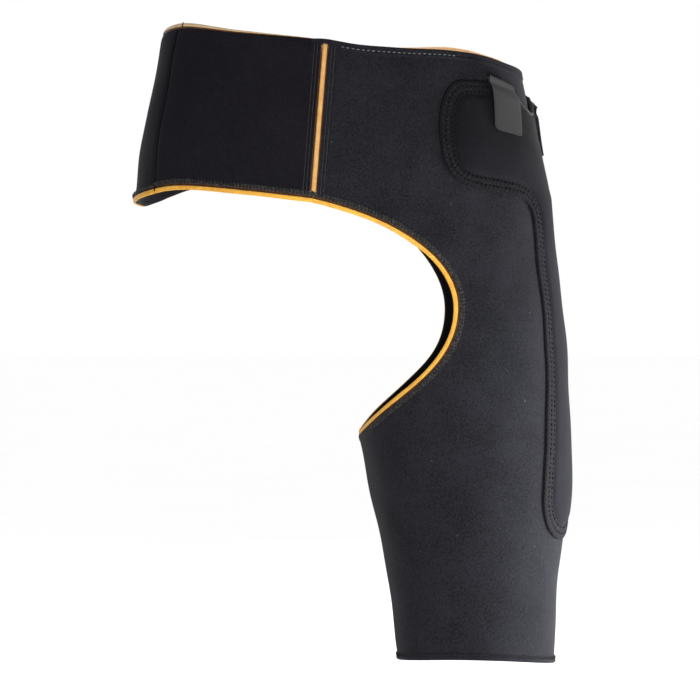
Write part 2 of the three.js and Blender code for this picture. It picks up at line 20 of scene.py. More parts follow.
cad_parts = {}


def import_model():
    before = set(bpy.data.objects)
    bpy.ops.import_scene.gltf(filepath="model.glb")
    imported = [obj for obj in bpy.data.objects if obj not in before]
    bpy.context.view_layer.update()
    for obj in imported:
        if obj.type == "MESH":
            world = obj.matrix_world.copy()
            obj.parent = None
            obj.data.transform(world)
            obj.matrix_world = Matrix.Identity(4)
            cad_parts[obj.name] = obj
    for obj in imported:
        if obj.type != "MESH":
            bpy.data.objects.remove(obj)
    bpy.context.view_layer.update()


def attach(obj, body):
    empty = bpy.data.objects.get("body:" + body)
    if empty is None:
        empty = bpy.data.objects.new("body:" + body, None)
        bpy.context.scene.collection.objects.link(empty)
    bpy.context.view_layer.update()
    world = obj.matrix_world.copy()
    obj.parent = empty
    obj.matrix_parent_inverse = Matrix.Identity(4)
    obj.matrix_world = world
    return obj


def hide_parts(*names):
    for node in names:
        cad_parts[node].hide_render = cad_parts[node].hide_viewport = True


LOG = logging.getLogger("hip_brace")
Array = np.ndarray
Material = bpy.types.Material
Piece = bpy.types.Object
Socket = bpy.types.NodeSocket
Tree = bpy.types.NodeTree
MILLIMETRE = 0.001
DEGREE = math.pi / 180
BODY = "root"
CLOTH_MAP = "cloth"  # attribute with each point's place on the flat cloth, in millimetres
SHARP_ANGLE = 50 * DEGREE


def between(start: Any, end: Any, share: Any) -> Any:
    """Value a share of the way from start to end."""
    return start + share * (end - start)


def unit(vectors: Array) -> Array:
    """Vectors brought to length one."""
    return vectors / np.linalg.norm(vectors, axis=-1, keepdims=True)


def rounded_edge(distance: Array, radius: float, drop: float) -> Array:
    """Height of a face near an edge that is rounded over.

    Args:
        distance: how far each point lies from the edge.
        radius: where the rounding starts.
        drop: how far the face has sunk at the edge itself.

    Returns:
        The height of each point, nought away from the edge and below nought near it.
    """
    share = np.clip(1 - distance / radius, 0, 1)
    return -drop * (1 - np.sqrt(1 - share**2))


def furrow(distance: Array, depth: float, width: float) -> Array:
    """Height of a face across a soft furrow, at a distance from its middle."""
    return -depth * np.exp(-((distance / width) ** 2))


def eased(value: Array, start: float, end: float) -> Array:
    """Share that rises smoothly from nought at start to one at end."""
    share = np.clip((value - start) / (end - start), 0, 1)
    return share * share * (3 - 2 * share)


def arc_lengths(points: Array) -> Array:
    """Way gone along a line at each of its points."""
    return np.concatenate([[0], np.cumsum(np.linalg.norm(np.diff(points, axis=0), axis=1))])


def bezier(corners: Sequence[Any], steps: int) -> Array:
    """Curve from the first corner to the last one, pulled towards those between them.

    Args:
        corners: its corners.
        steps: how many points to give back.

    Returns:
        The points.
    """
    t = np.linspace(0, 1, steps)[:, None]
    line = [np.array(corner, float) for corner in corners]
    while len(line) > 1:
        line = [between(start, end, t) for start, end in zip(line, line[1:])]
    return line[0]


@dataclass(frozen=True)
class Places:
    """Places on the worn form: the turn round it, in radians, and the level."""

    turn: Array
    level: Array


class SmoothCurve:
    """Cubic curve through one column of a table. It runs on straight past both ends."""

    def __init__(self, places: Sequence[float], values: Sequence[float]) -> None:
        """Takes the sorted places and the value at each.

        Args:
            places: places along the curve, rising.
            values: the curve's value at each.
        """
        self.places = np.array(places, float)
        self.values = np.array(values, float)
        count = np.arange(len(self.places))
        before = np.maximum(count - 1, 0)
        after = np.minimum(count + 1, len(count) - 1)
        rise = self.values[after] - self.values[before]
        self.slopes = rise / (self.places[after] - self.places[before])

    def __call__(self, value: Array) -> Array:
        """Values of the curve at the given places.

        Args:
            value: the places.

        Returns:
            One value for each.
        """
        x = np.clip(value, self.places[0], self.places[-1])
        high = np.clip(np.searchsorted(self.places, x), 1, len(self.places) - 1)
        low = high - 1
        span = self.places[high] - self.places[low]
        t = (x - self.places[low]) / span
        low_part = (1 - t) ** 2 * ((1 + 2 * t) * self.values[low] + t * span * self.slopes[low])
        high_part = t * t * ((3 - 2 * t) * self.values[high] + (t - 1) * span * self.slopes[high])
        past = (value - x) * np.where(value < x, self.slopes[0], self.slopes[-1])
        return low_part + high_part + past


@dataclass(frozen=True)
class Girth:
    """Width and depth of one girth of the worn form."""

    width: float
    depth: float


@dataclass(frozen=True)
class Section:
    """Level section of the form.

    width and depth say how far it has come from the lower to the upper girth, middle is a share of the
    leg's spread, front a share of the depth, and square the exponent of the oval.
    """

    level: float
    lower: Girth
    upper: Girth
    width: float
    depth: float
    middle: float
    front: float
    square: float


# Edges of the brace, as the turn in degrees and the rise as a share of the belt's height
UPPER_RIM = SmoothCurve(*zip(
    (-19, 0.785), (0, 0.77), (22, 0.89), (32, 0.95), (43, 0.982), (90, 0.985),
    (145, 1.02), (180, 1.01), (205, 1.03), (230, 0.97), (263, 0.92), (281, 0.877),
    (298, 0.86), (324, 0.84), (341, 0.785), (360, 0.77), (382, 0.89),
))
LOWER_RIM = SmoothCurve(*zip(
    (90, 0.08), (130, 0.095), (146, 0.085), (156, 0.02), (166, -0.055), (176, -0.07), (185, -0.055),
    (195, -0.03), (209, 0.005), (222, -0.01), (240, -0.05), (270, -0.115),
))


@dataclass(frozen=True)
class BraceForm:
    """Outer face of the brace as it is worn, and the edges and seams on it."""

    waist: Girth = Girth(276, 176)
    hip: Girth = Girth(342, 227)
    thigh: Girth = Girth(175.5, 185)
    hem: Girth = Girth(130, 130)
    leg_spread: float = 109
    belt_height: float = 124
    groin_drop: float = 205
    sleeve_length: float = 178.5
    hem_tilt_side: float = 2.8
    hem_tilt_back: float = 5
    hem_sag: float = 4.2  # how much lower the hem lies at both sides than in front and behind
    padding: float = 5
    gap: float = 0.3
    strip_width: float = 4.6
    seam_foot_x: float = -24.4
    seam_top_x: float = -14.8
    seam_rows: tuple[float, float] = (3.1, 5.7)  # topstitching beside the front seam
    side_seam_turn: float = 202.5 * DEGREE
    opening_reach_x: float = 91.5
    opening_reach_level: float = -160
    tape_start: float = 11  # how far beyond the front seam the top hem starts
    tape_end_turn: float = 12 * DEGREE
    sway: float = 0.4  # height of the slack waves that run over the whole brace

    def belt_level(self, share: float) -> float:
        """Level at a share of the belt's height."""
        return (share - 0.5) * self.belt_height

    def groin_level(self, share: float) -> float:
        """Level at a share of the way down from the belt to the foot of the leg opening."""
        return self.belt_level(0) - share * self.groin_drop

    def sleeve_level(self, share: float) -> float:
        """Level at a share of the way down the thigh sleeve."""
        return self.groin_level(1) - share * self.sleeve_length

    @cached_property
    def sections(self) -> tuple[Section, ...]:
        """Level sections from the hem up."""
        hem, thigh, hip, waist = self.hem, self.thigh, self.hip, self.waist
        return (
            Section(self.sleeve_level(1.0), hem, thigh, 0, 0, 0.995, 0.5, 2.1),
            Section(self.sleeve_level(0.66), hem, thigh, 0.24, 0.25, 0.972, 0.52, 2),
            Section(self.sleeve_level(0.29), hem, thigh, 0.7, 0.63, 0.943, 0.52, 2.05),
            Section(self.groin_level(0.93), thigh, hip, 0, 0, 0.873, 0.515, 2.1),
            Section(self.groin_level(0.61), thigh, hip, 0.11, 0.79, 0.75, 0.485, 2.2),
            Section(self.groin_level(0.27), thigh, hip, 0.67, 1.14, 0.254, 0.485, 2.3),
            Section(self.groin_level(0.05), thigh, hip, 1, 1, -0.037, 0.5, 2.35),
            Section(self.belt_level(0), hip, waist, 0.065, 0.02, -0.041, 0.5, 2.35),
            Section(self.belt_level(0.3), hip, waist, 0.25, 0.26, -0.055, 0.515, 2.45),
            Section(self.belt_level(0.74), hip, waist, 0.59, 0.63, -0.055, 0.52, 2.5),
            Section(self.belt_level(1.15), hip, waist, 1, 1, -0.092, 0.52, 2.5),
        )

    @cached_property
    def section_curves(self) -> dict[str, SmoothCurve]:
        """Curves up the form for the middle, half width, front, back and squareness."""
        levels = [s.level for s in self.sections]
        depths = [between(s.lower.depth, s.upper.depth, s.depth) for s in self.sections]
        columns = {
            "middle": [s.middle * self.leg_spread for s in self.sections],
            "half": [between(s.lower.width, s.upper.width, s.width) / 2 for s in self.sections],
            "front": [depth * s.front for depth, s in zip(depths, self.sections)],
            "back": [depth * (1 - s.front) for depth, s in zip(depths, self.sections)],
            "square": [s.square for s in self.sections],
        }
        return {name: SmoothCurve(levels, values) for name, values in columns.items()}

    def at(self, level: Any) -> dict[str, Array]:
        """What each curve up the form says at the given levels."""
        return {name: curve(np.asarray(level, float)) for name, curve in self.section_curves.items()}

    def upper_rim(self, turn: Array) -> Array:
        """Level of the upper edge."""
        return self.belt_level(UPPER_RIM(np.mod(np.asarray(turn) / DEGREE, 360)))

    def lower_rim(self, turn: Array) -> Array:
        """Level of the belt's lower edge."""
        return self.belt_level(LOWER_RIM(np.mod(np.asarray(turn) / DEGREE, 360)))

    def hem_level(self, turn: Array) -> Array:
        """Level of the sleeve's hem."""
        tilt = self.hem_tilt_side * (0.5 + 0.5 * np.cos(turn)) + self.hem_tilt_back * np.sin(turn) / 2
        return self.sleeve_level(1) - tilt - self.hem_sag * np.cos(turn) ** 2

    def point(self, turn: Array, level: Array) -> Array:
        """Points of the outer face, before slack waves.

        Args:
            turn: their turns.
            level: their levels.

        Returns:
            The points.
        """
        turn, level = np.broadcast_arrays(np.asarray(turn, float), np.asarray(level, float))
        at = self.at(level)
        depth = np.where(np.sin(turn) < 0, at["front"], at["back"])
        across = np.abs(np.cos(turn) / at["half"]) ** at["square"]
        along = np.abs(np.sin(turn) / depth) ** at["square"]
        radius = (across + along) ** (-1 / at["square"])
        return np.stack([at["middle"] + radius * np.cos(turn), radius * np.sin(turn), level], -1)

    def normal(self, turn: Array, level: Array) -> Array:
        """Ways out of the outer face.

        Args:
            turn: turns of its points.
            level: their levels.

        Returns:
            The ways.
        """
        turn_step = 0.001
        level_step = 0.5
        around = self.point(turn + turn_step, level) - self.point(turn - turn_step, level)
        rise = self.point(turn, level + level_step) - self.point(turn, level - level_step)
        return unit(np.cross(around, rise))

    def slack(self, points: Array) -> Array:
        """Height of the slack waves at points, alike for every piece so that they stay together.

        Args:
            points: the points.

        Returns:
            Their heights.
        """
        waves = (
            ((0.09, 0.02, 0.05), 0.4),
            ((-0.05, 0.07, 0.08), 2.1),
            ((0.03, -0.06, 0.11), 4.0),
            ((0.12, 0.05, -0.04), 5.2),
        )
        total = sum(np.sin(points @ np.array(way) + phase) for way, phase in waves)
        return self.sway * total / 2

    def raised(self, turn: Array, level: Array, height: Any) -> Array:
        """Points that lie a given height out from the outer face."""
        points = self.point(turn, level)
        return points + self.normal(turn, level) * np.asarray(self.slack(points) + height)[..., None]

    def turn_at_x(self, x: Array, level: Array, side: int) -> Array:
        """Turn of the place with a given x, in front for side -1 and behind for side 1.

        Args:
            x: the place's x.
            level: its level.
            side: in front or behind.

        Returns:
            The turn.
        """
        at = self.at(level)
        share = np.clip((x - at["middle"]) / at["half"], -1, 1)
        depth = at["front"] if side < 0 else at["back"]
        y = depth * (1 - np.abs(share) ** at["square"]) ** (1 / at["square"])
        return side * np.arctan2(y, share * at["half"])

    def turn_at_reach(self, reach: Array, level: Array) -> Array:
        """Turn of the place that lies a given way round from the side line, positive to the back.

        Args:
            reach: the way round.
            level: the place's level.

        Returns:
            The turn.
        """
        reach, level = np.broadcast_arrays(np.asarray(reach, float), np.asarray(level, float))
        step = np.sign(reach) * DEGREE
        goal = np.abs(reach)
        turn = np.zeros(reach.shape)
        gone = np.zeros(reach.shape)
        here = self.point(turn, level)
        while (gone < goal).any():
            ahead = self.point(turn + step, level)
            length = np.maximum(np.linalg.norm(ahead - here, axis=-1), 1e-9)
            share = np.clip((goal - gone) / length, 0, 1)
            turn = turn + step * share
            gone = gone + length
            here = ahead
        return turn

    def seam_x(self, level: Array) -> Array:
        """Where the front and back seams between belt and hip panel run."""
        return between(self.seam_foot_x, self.seam_top_x, (level - self.belt_level(0)) / self.belt_height)

    def seam(self, share: Array, shift: float, side: int) -> Places:
        """Places on a seam at shares of the way up, shifted sideways.

        Args:
            share: the shares.
            shift: how far to shift.
            side: in front or behind.

        Returns:
            The places.
        """
        foot, top = self.belt_level(0), self.belt_level(1)
        low = self.lower_rim(self.turn_at_x(self.seam_x(foot) + shift, foot, side))
        high = self.upper_rim(self.turn_at_x(self.seam_x(top) + shift, top, side))
        level = between(low, high, np.asarray(share, float))
        return Places(self.turn_at_x(self.seam_x(level) + shift, level, side), level)

    def seam_turn(self, share: float, shift: float, side: int) -> float:
        """Turn of one place on a seam."""
        return float(self.seam(share, shift, side).turn)

    def opening(self, side: int, shift: float) -> Places:
        """Edge of the leg opening on one side, from the inner thigh up to the seam.

        Args:
            side: -1 in front, 1 behind.
            shift: how far its end is shifted sideways.

        Returns:
            The edge.
        """
        foot = self.groin_level(1)
        at = self.at(foot)
        start = self.seam(0.0, shift, side)
        inner = np.array([at["middle"] - at["half"], foot])
        far = np.array([self.opening_reach_x, self.opening_reach_level])
        seam = np.array([self.seam_x(start.level) + shift, start.level])

        def arc(begin: Array, end: Array, *pulls: tuple[float, float]) -> Array:
            """Curve pulled towards shares of the way across and up from begin to end."""
            corners = [between(begin, end, np.array(pull)) for pull in pulls]
            return bezier([begin, *corners, end], 60)

        lower = arc(inner, far, (0.355, 0.342), (1, 0.503))
        upper = arc(far, seam, (0, 0.435), (0.41, 0.82))
        line = np.concatenate([lower, upper[1:]])
        return Places(self.turn_at_x(line[:, 0], line[:, 1], side), line[:, 1])

    def even(self, path: Places, count: int) -> Places:
        """The same line in even steps.

        Args:
            path: places along the line.
            count: how many places to give back.

        Returns:
            Places the same way apart along the line.
        """
        gone = arc_lengths(self.point(path.turn, path.level))
        goals = np.linspace(0, gone[-1], count)
        return Places(np.interp(goals, gone, path.turn), np.interp(goals, gone, path.level))

    def stepped(self, path: Places, spacing: float) -> Places:
        """The same line in even steps of about the given length."""
        length = arc_lengths(self.point(path.turn, path.level))[-1]
        return self.even(path, max(2, round(float(length / spacing)) + 1))

    def frames(self, path: Places, closed: bool = False) -> tuple[Array, Array, Array]:
        """Points along an edge, the ways out of the cloth there, and the ways off the padding.

        Args:
            path: the edge. It runs so that the padding is on its right, seen from outside.
            closed: whether it is a loop.

        Returns:
            The points, the ways out and the ways off.
        """
        points = self.raised(path.turn, path.level, 0)
        out = self.normal(path.turn, path.level)
        if closed:
            along = np.roll(points, -1, 0) - np.roll(points, 1, 0)
        else:
            along = np.gradient(points, axis=0)
        return points, out, unit(np.cross(out, along))


class DenseLine:
    """Line on the brace that other points' distances are measured from."""

    def __init__(self, points: Array, spacing: float = 0.4) -> None:
        """Takes the line's points and fills in more of them at the given spacing.

        Args:
            points: the points, in order.
            spacing: how far apart the filled ones lie.
        """
        gone = arc_lengths(points)
        goals = np.linspace(0, gone[-1], max(2, int(gone[-1] / spacing)))
        dense = np.stack([np.interp(goals, gone, points[:, axis]) for axis in range(3)], -1)
        self.tree = KDTree(len(dense))
        for number, place in enumerate(dense):
            self.tree.insert(place, number)
        self.tree.balance()

    def distance(self, points: Array) -> Array:
        """Distance of each point to the line."""
        flat = points.reshape(-1, 3)
        return np.array([self.tree.find(place)[2] for place in flat]).reshape(points.shape[:-1])


class FaceSide(IntEnum):
    """Material places on a padded piece."""

    OUTER = 0
    INNER = 1
    RIM = 2
    RAW = 3


def add_object(name: str, data: Any) -> Piece:
    """Puts an object with the given data into the scene.

    Args:
        name: its name.
        data: its mesh, camera or lamp.

    Returns:
        The object.
    """
    piece = bpy.data.objects.new(name, data)
    bpy.context.scene.collection.objects.link(piece)
    return piece


def store(mesh: bpy.types.Mesh, name: str, values: Array) -> None:
    """Stores a number or a vector at each point of a mesh.

    Args:
        mesh: the mesh.
        name: the attribute's name.
        values: one for each point.
    """
    kind, field = ("FLOAT", "value") if values.ndim == 1 else ("FLOAT_VECTOR", "vector")
    data = mesh.attributes.new(name, kind, "POINT").data
    data.foreach_set(field, values.astype(np.float32).ravel())


def make_object(
    name: str, points: Array, faces: Sequence[Sequence[int]], materials: Sequence[Material],
    sides: Sequence[int] | None = None, cloth: Array | None = None,
) -> Piece:
    """Makes a piece from points in millimetres.

    Args:
        name: the piece's name.
        points: its corners.
        faces: the corners of each face, round so that it points outwards.
        materials: its materials.
        sides: which material each face has.
        cloth: each corner's place on the flat cloth.

    Returns:
        The piece, in the scene.
    """
    mesh = bpy.data.meshes.new(name)
    mesh.from_pydata((points * MILLIMETRE).tolist(), [], faces)
    for material in materials:
        mesh.materials.append(material)
    if sides is not None:
        mesh.polygons.foreach_set("material_index", np.array(sides, np.int32))
    mesh.polygons.foreach_set("use_smooth", np.ones(len(faces), bool))
    if cloth is not None:
        store(mesh, CLOTH_MAP, np.column_stack([cloth, np.zeros(len(points))]))
    mesh.set_sharp_from_angle(angle=SHARP_ANGLE)
    mesh.update()
    return add_object(name, mesh)


def shell_piece(
    name: str, outer: Array, inner: Array, cloth: Array, stride: int, materials: Sequence[Material],
    raw: Array | None = None,
) -> Piece:
    """Closed padding between two grids of points. The inner face has only every few rows and columns.

    Args:
        name: the piece's name.
        outer: points of the outer face, by row and column. Rows run up, and columns towards larger turns.
        inner: points of the inner face, by the same rows and columns.
        cloth: place of each point on the flat cloth.
        stride: how many rows and columns of the outer face make one of the inner face.
        materials: those of the outer face, the inner face, the rim and the raw border.
        raw: for each face of the outer grid, whether its foam core shows.

    Returns:
        The piece.
    """
    inner = inner[::stride, ::stride]
    points = np.concatenate([outer.reshape(-1, 3), inner.reshape(-1, 3)])
    flat = np.concatenate([cloth.reshape(-1, 2), cloth[::stride, ::stride].reshape(-1, 2)])
    corners = np.arange(len(points))
    count = math.prod(outer.shape[:2])
    outer_grid = corners[:count].reshape(outer.shape[:2])
    inner_grid = corners[count:].reshape(inner.shape[:2])

    def quads(grid: Array) -> Array:
        """Faces of one grid."""
        return np.stack([grid[:-1, :-1], grid[:-1, 1:], grid[1:, 1:], grid[1:, :-1]], -1).reshape(-1, 4)

    def border(grid: Array) -> list[int]:
        """Corners round the border of one grid, closed."""
        return np.concatenate([grid[0], grid[1:, -1], grid[-1, -2::-1], grid[-2::-1, 0]]).tolist()

    outer_faces = quads(outer_grid).tolist()
    inner_faces = quads(inner_grid)[:, ::-1].tolist()
    outer_border, inner_border = border(outer_grid), border(inner_grid)
    rim_faces = [
        outer_border[number * stride : (number + 1) * stride + 1][::-1] + inner_border[number : number + 2]
        for number in range(len(inner_border) - 1)
    ]
    faces = outer_faces + inner_faces + rim_faces
    core = np.zeros(len(outer_faces), bool) if raw is None else raw.ravel()
    sides = np.where(core, FaceSide.RAW, FaceSide.OUTER).tolist()
    sides += [FaceSide.INNER] * len(inner_faces) + [FaceSide.RIM] * len(rim_faces)
    return make_object(name, points, faces, materials, sides, flat)


def ring_faces(rings: int, sides: int, closed: bool = False) -> list[list[int]]:
    """Faces between rings that have the same number of corners.

    Args:
        rings: how many rings.
        sides: corners of one.
        closed: whether the last joins the first.

    Returns:
        The faces.
    """
    here = np.arange(rings if closed else rings - 1)[:, None] * sides
    there = (here + sides) % (rings * sides)
    k = np.arange(sides)
    ahead = (k + 1) % sides
    return np.stack([here + k, here + ahead, there + ahead, there + k], -1).reshape(-1, 4).tolist()


def bar_piece(
    name: str, rings: Array, closed: bool, materials: Sequence[Material],
    dressed: Sequence[int] | None = None,
) -> Piece:
    """Closed bar through rings of points.

    Args:
        name: the piece's name.
        rings: points by ring and by place round it.
        closed: whether the last ring joins the first one.
        materials: the bar's materials.
        dressed: which material each face round a ring has.

    Returns:
        The piece.
    """
    count, sides = rings.shape[:2]
    faces = ring_faces(count, sides, closed)
    slots = list(dressed or [0] * sides) * (len(faces) // sides)
    if not closed:
        last = (count - 1) * sides
        faces.append(list(range(sides))[::-1])
        faces.append(list(range(last, last + sides)))
        slots += [0, 0]
    lengths = arc_lengths(rings.mean(1)), arc_lengths(rings[0])
    cloth = np.stack(np.meshgrid(*lengths, indexing="ij"), -1).reshape(-1, 2)
    return make_object(name, rings.reshape(-1, 3), faces, materials, slots, cloth)


def edge_rings(form: BraceForm, path: Places, sections: Array, closed: bool = False) -> Array:
    """Rings of a bar along an edge.

    Args:
        form: the worn form.
        path: the edge.
        sections: the bar's section at each place, as (away from the padding, outwards).
        closed: whether the edge is a loop.

    Returns:
        Points by ring and by place round it.
    """
    points, out, away = form.frames(path, closed)
    return points[:, None] + away[:, None] * sections[..., :1] + out[:, None] * sections[..., 1:]


def linear_colour(code: str) -> tuple[float, float, float, float]:
    """Turns an sRGB hex colour to the linear one that a shader takes.

    Args:
        code: the colour, such as #0d0d0f.

    Returns:
        The linear colour, opaque.
    """
    parts = [int(code[k : k + 2], 16) / 255 for k in (1, 3, 5)]
    linear = [p / 12.92 if p <= 0.04045 else ((p + 0.055) / 1.055) ** 2.4 for p in parts]
    return (*linear, 1.0)


def add_node(
    tree: Tree, kind: str, inputs: dict[str | int, Any] | None = None, output: str | int = 0,
    **settings: Any,
) -> Socket:
    """Adds a node with its links and settings.

    Args:
        tree: the node tree.
        kind: the node's type.
        inputs: for each socket, by name or number, a value or the output that feeds it.
        output: the name or number of the output to give back.
        settings: the node's own options.

    Returns:
        One output of the node.
    """
    node = tree.nodes.new(kind)
    for option, value in settings.items():
        setattr(node, option, value)
    for socket, value in (inputs or {}).items():
        if isinstance(value, Socket):
            tree.links.new(value, node.inputs[socket])
        else:
            node.inputs[socket].default_value = value
    return node.outputs[output] if node.outputs else None


@dataclass(frozen=True)
class Finish:
    """What every finish has: the two colours that it varies between, and how it shines."""

    name: str
    dark: str
    light: str
    roughness: float = 0.8
    gloss: float = 0.3
    bloom: float = 0.0  # light that loose fibres catch towards the silhouette
    relief: float = 0.1  # height of its surface pattern, in millimetres
    painted_light_foot: float = 0.0  # painted light: added share of the light colour lower down, standing in for brighter light there
    painted_light_levels: tuple[float, float] = (-0.03, -0.12)  # levels in metres where it starts and is full

    def shade(self, tree: Tree) -> tuple[Socket, Socket]:
        """Share of the light colour, and height of the surface pattern. Each finish has its own."""
        raise NotImplementedError

    def material(self) -> Material:
        """Builds the material's nodes.

        Returns:
            The material.
        """
        material = bpy.data.materials.new(self.name)
        material.use_nodes = True
        tree = material.node_tree
        tree.nodes.clear()
        share, height = self.shade(tree)
        # Painted light: the colour turns lighter lower down on the brace.
        if self.painted_light_foot:
            place = add_node(tree, "ShaderNodeTexCoord", output="Object")
            level = add_node(tree, "ShaderNodeSeparateXYZ", {"Vector": place}, "Z")
            top, foot = self.painted_light_levels
            fade = {"Value": level, "From Min": top, "From Max": foot, "To Max": self.painted_light_foot}
            paler = add_node(tree, "ShaderNodeMapRange", fade)
            share = add_node(tree, "ShaderNodeMath", {0: share, 1: paler}, operation="ADD")
        ends = {"Factor": share, 6: linear_colour(self.dark), 7: linear_colour(self.light)}
        bump = {"Height": height, "Distance": self.relief * MILLIMETRE, "Strength": 1.0}
        shader = {
            "Base Color": add_node(tree, "ShaderNodeMix", ends, 2, data_type="RGBA", clamp_factor=False),
            "Roughness": self.roughness,
            "Specular IOR Level": self.gloss,
            "Sheen Weight": self.bloom,
            "Sheen Roughness": 0.4,
            "Normal": add_node(tree, "ShaderNodeBump", bump),
        }
        surface = add_node(tree, "ShaderNodeBsdfPrincipled", shader)
        add_node(tree, "ShaderNodeOutputMaterial", {"Surface": surface})
        return material


@dataclass(frozen=True)
class KnitCloth(Finish):
    """Nylon jersey knitted fine and bonded to foam.

    Its matte loops swallow light, and the loose fibres on them bloom softly towards the silhouette. The
    real loops are about half a millimetre apart. They are drawn coarser so that their grain shows.
    """

    roughness: float = 0.95
    gloss: float = 0.05
    bloom: float = 0.05
    loop: float = 1.1
    fibre: float = 1.5
    patch: float = 30.0
    middle_tone: float = 0.395  # usual value of the loops and fibres together
    clouds: float = 0.35  # how much the pressed patches count beside the loops
    blend: float = 0.27  # the lower it is, the harder light and dark loops part
    lint: float = 0.0  # usual distance between specks of lint, or nought for none
    lint_size: float = 0.5
    lint_shine: float = 7.0

    def shade(self, tree: Tree) -> tuple[Socket, Socket]:
        """Loops that sit a little unevenly, clumps of fibre, and faint patches of pressed pile.

        Args:
            tree: the material's nodes.

        Returns:
            That share and that height.
        """
        cloth = add_node(tree, "ShaderNodeAttribute", output="Vector", attribute_name=CLOTH_MAP)
        place = add_node(tree, "ShaderNodeTexCoord", output="Object")
        loops = {"Vector": cloth, "Scale": 1 / self.loop, "Randomness": 0.8}
        dots = add_node(tree, "ShaderNodeTexVoronoi", loops, voronoi_dimensions="2D")
        clumps = {"Vector": place, "Scale": 1 / (self.fibre * MILLIMETRE), "Detail": 3.0}
        fibres = add_node(tree, "ShaderNodeTexNoise", clumps)
        pressed = {"Vector": place, "Scale": 1 / (self.patch * MILLIMETRE), "Detail": 3.0}
        patches = add_node(tree, "ShaderNodeTexNoise", pressed)
        knit = add_node(tree, "ShaderNodeMath", {0: dots, 1: -0.35, 2: fibres}, operation="MULTIPLY_ADD")
        sums = {0: patches, 1: self.clouds, 2: knit}
        grain = add_node(tree, "ShaderNodeMath", sums, operation="MULTIPLY_ADD")
        usual = self.middle_tone + self.clouds / 2
        low, high = usual - 1.15 * self.blend, usual + 0.85 * self.blend
        share = add_node(tree, "ShaderNodeMapRange", {"Value": grain, "From Min": low, "From Max": high})
        if self.lint:
            specks = {"Vector": place, "Scale": 1 / (self.lint * MILLIMETRE)}
            near = {0: add_node(tree, "ShaderNodeTexVoronoi", specks), 1: self.lint_size / self.lint}
            lint = add_node(tree, "ShaderNodeMath", near, operation="LESS_THAN")
            sums = {0: lint, 1: self.lint_shine, 2: share}
            share = add_node(tree, "ShaderNodeMath", sums, operation="MULTIPLY_ADD")
        return share, knit


@dataclass(frozen=True)
class CutFoam(Finish):
    """Closed-cell rubber foam, cut through and left bare.

    The knife opens its cells, so that it is matte with fine pits.
    """

    gloss: float = 0.25
    relief: float = 0.2
    cell: float = 0.9
    streak: float = 6.0

    def shade(self, tree: Tree) -> tuple[Socket, Socket]:
        """Pits of the cut cells over long streaks from the knife.

        Args:
            tree: the material's nodes.

        Returns:
            That share and that height.
        """
        place = add_node(tree, "ShaderNodeTexCoord", output="Object")
        cut = {"Vector": place, "Scale": 1 / (self.cell * MILLIMETRE)}
        cells = add_node(tree, "ShaderNodeTexVoronoi", cut)
        long = {"Vector": place, "Scale": 1 / (self.streak * MILLIMETRE), "Detail": 4.0}
        streaks = add_node(tree, "ShaderNodeTexNoise", long)
        pits = add_node(tree, "ShaderNodeMath", {0: cells, 1: -0.5, 2: streaks}, operation="MULTIPLY_ADD")
        share = add_node(tree, "ShaderNodeMapRange", {"Value": pits, "From Min": -0.1, "From Max": 0.45})
        return share, pits


@dataclass(frozen=True)
class WovenTape(Finish):
    """Narrow polyester strap or tape with fine cross ribs, which shine a little along their crests."""

    roughness: float = 0.6
    bloom: float = 0.05
    rib: float = 1.6
    wear: float = 3.0

    def shade(self, tree: Tree) -> tuple[Socket, Socket]:
        """Cross ribs, with wear that dulls them in places.

        Args:
            tree: the material's nodes.

        Returns:
            That share and that height.
        """
        cloth = add_node(tree, "ShaderNodeAttribute", output="Vector", attribute_name=CLOTH_MAP)
        place = add_node(tree, "ShaderNodeTexCoord", output="Object")
        bands = {"Vector": cloth, "Scale": 2 * math.pi / (20 * self.rib), "Distortion": 0.4}
        ribs = add_node(tree, "ShaderNodeTexWave", bands, "Fac", bands_direction="X")
        rubbed = {"Vector": place, "Scale": 1 / (self.wear * MILLIMETRE), "Detail": 3.0}
        worn = add_node(tree, "ShaderNodeTexNoise", rubbed)
        share = add_node(tree, "ShaderNodeMath", {0: ribs, 1: worn}, operation="MULTIPLY")
        return share, share


@dataclass(frozen=True)
class SpunThread(Finish):
    """Bulked polyester sewing thread, soft, with a twist that breaks up its colour."""

    roughness: float = 0.8
    gloss: float = 0.2
    twist: float = 1.1

    def shade(self, tree: Tree) -> tuple[Socket, Socket]:
        """Strands of the twist.

        Args:
            tree: the material's nodes.

        Returns:
            That share and that height.
        """
        place = add_node(tree, "ShaderNodeTexCoord", output="Object")
        twisted = {"Vector": place, "Scale": 1 / (self.twist * MILLIMETRE), "Detail": 2.0}
        strands = add_node(tree, "ShaderNodeTexNoise", twisted)
        share = add_node(tree, "ShaderNodeMapRange", {"Value": strands, "From Min": 0.3, "From Max": 0.7})
        return share, strands


@dataclass(frozen=True)
class StudioPaint(Finish):
    """Matte white studio paint, with the faintest unevenness of a rolled coat."""

    roughness: float = 0.9
    gloss: float = 0.1
    coat: float = 500.0

    def shade(self, tree: Tree) -> tuple[Socket, Socket]:
        """Broad passes of the roller.

        Args:
            tree: the material's nodes.

        Returns:
            That share and that height.
        """
        place = add_node(tree, "ShaderNodeTexCoord", output="Object")
        rolled = {"Vector": place, "Scale": 1 / (self.coat * MILLIMETRE)}
        passes = add_node(tree, "ShaderNodeTexNoise", rolled)
        return passes, passes


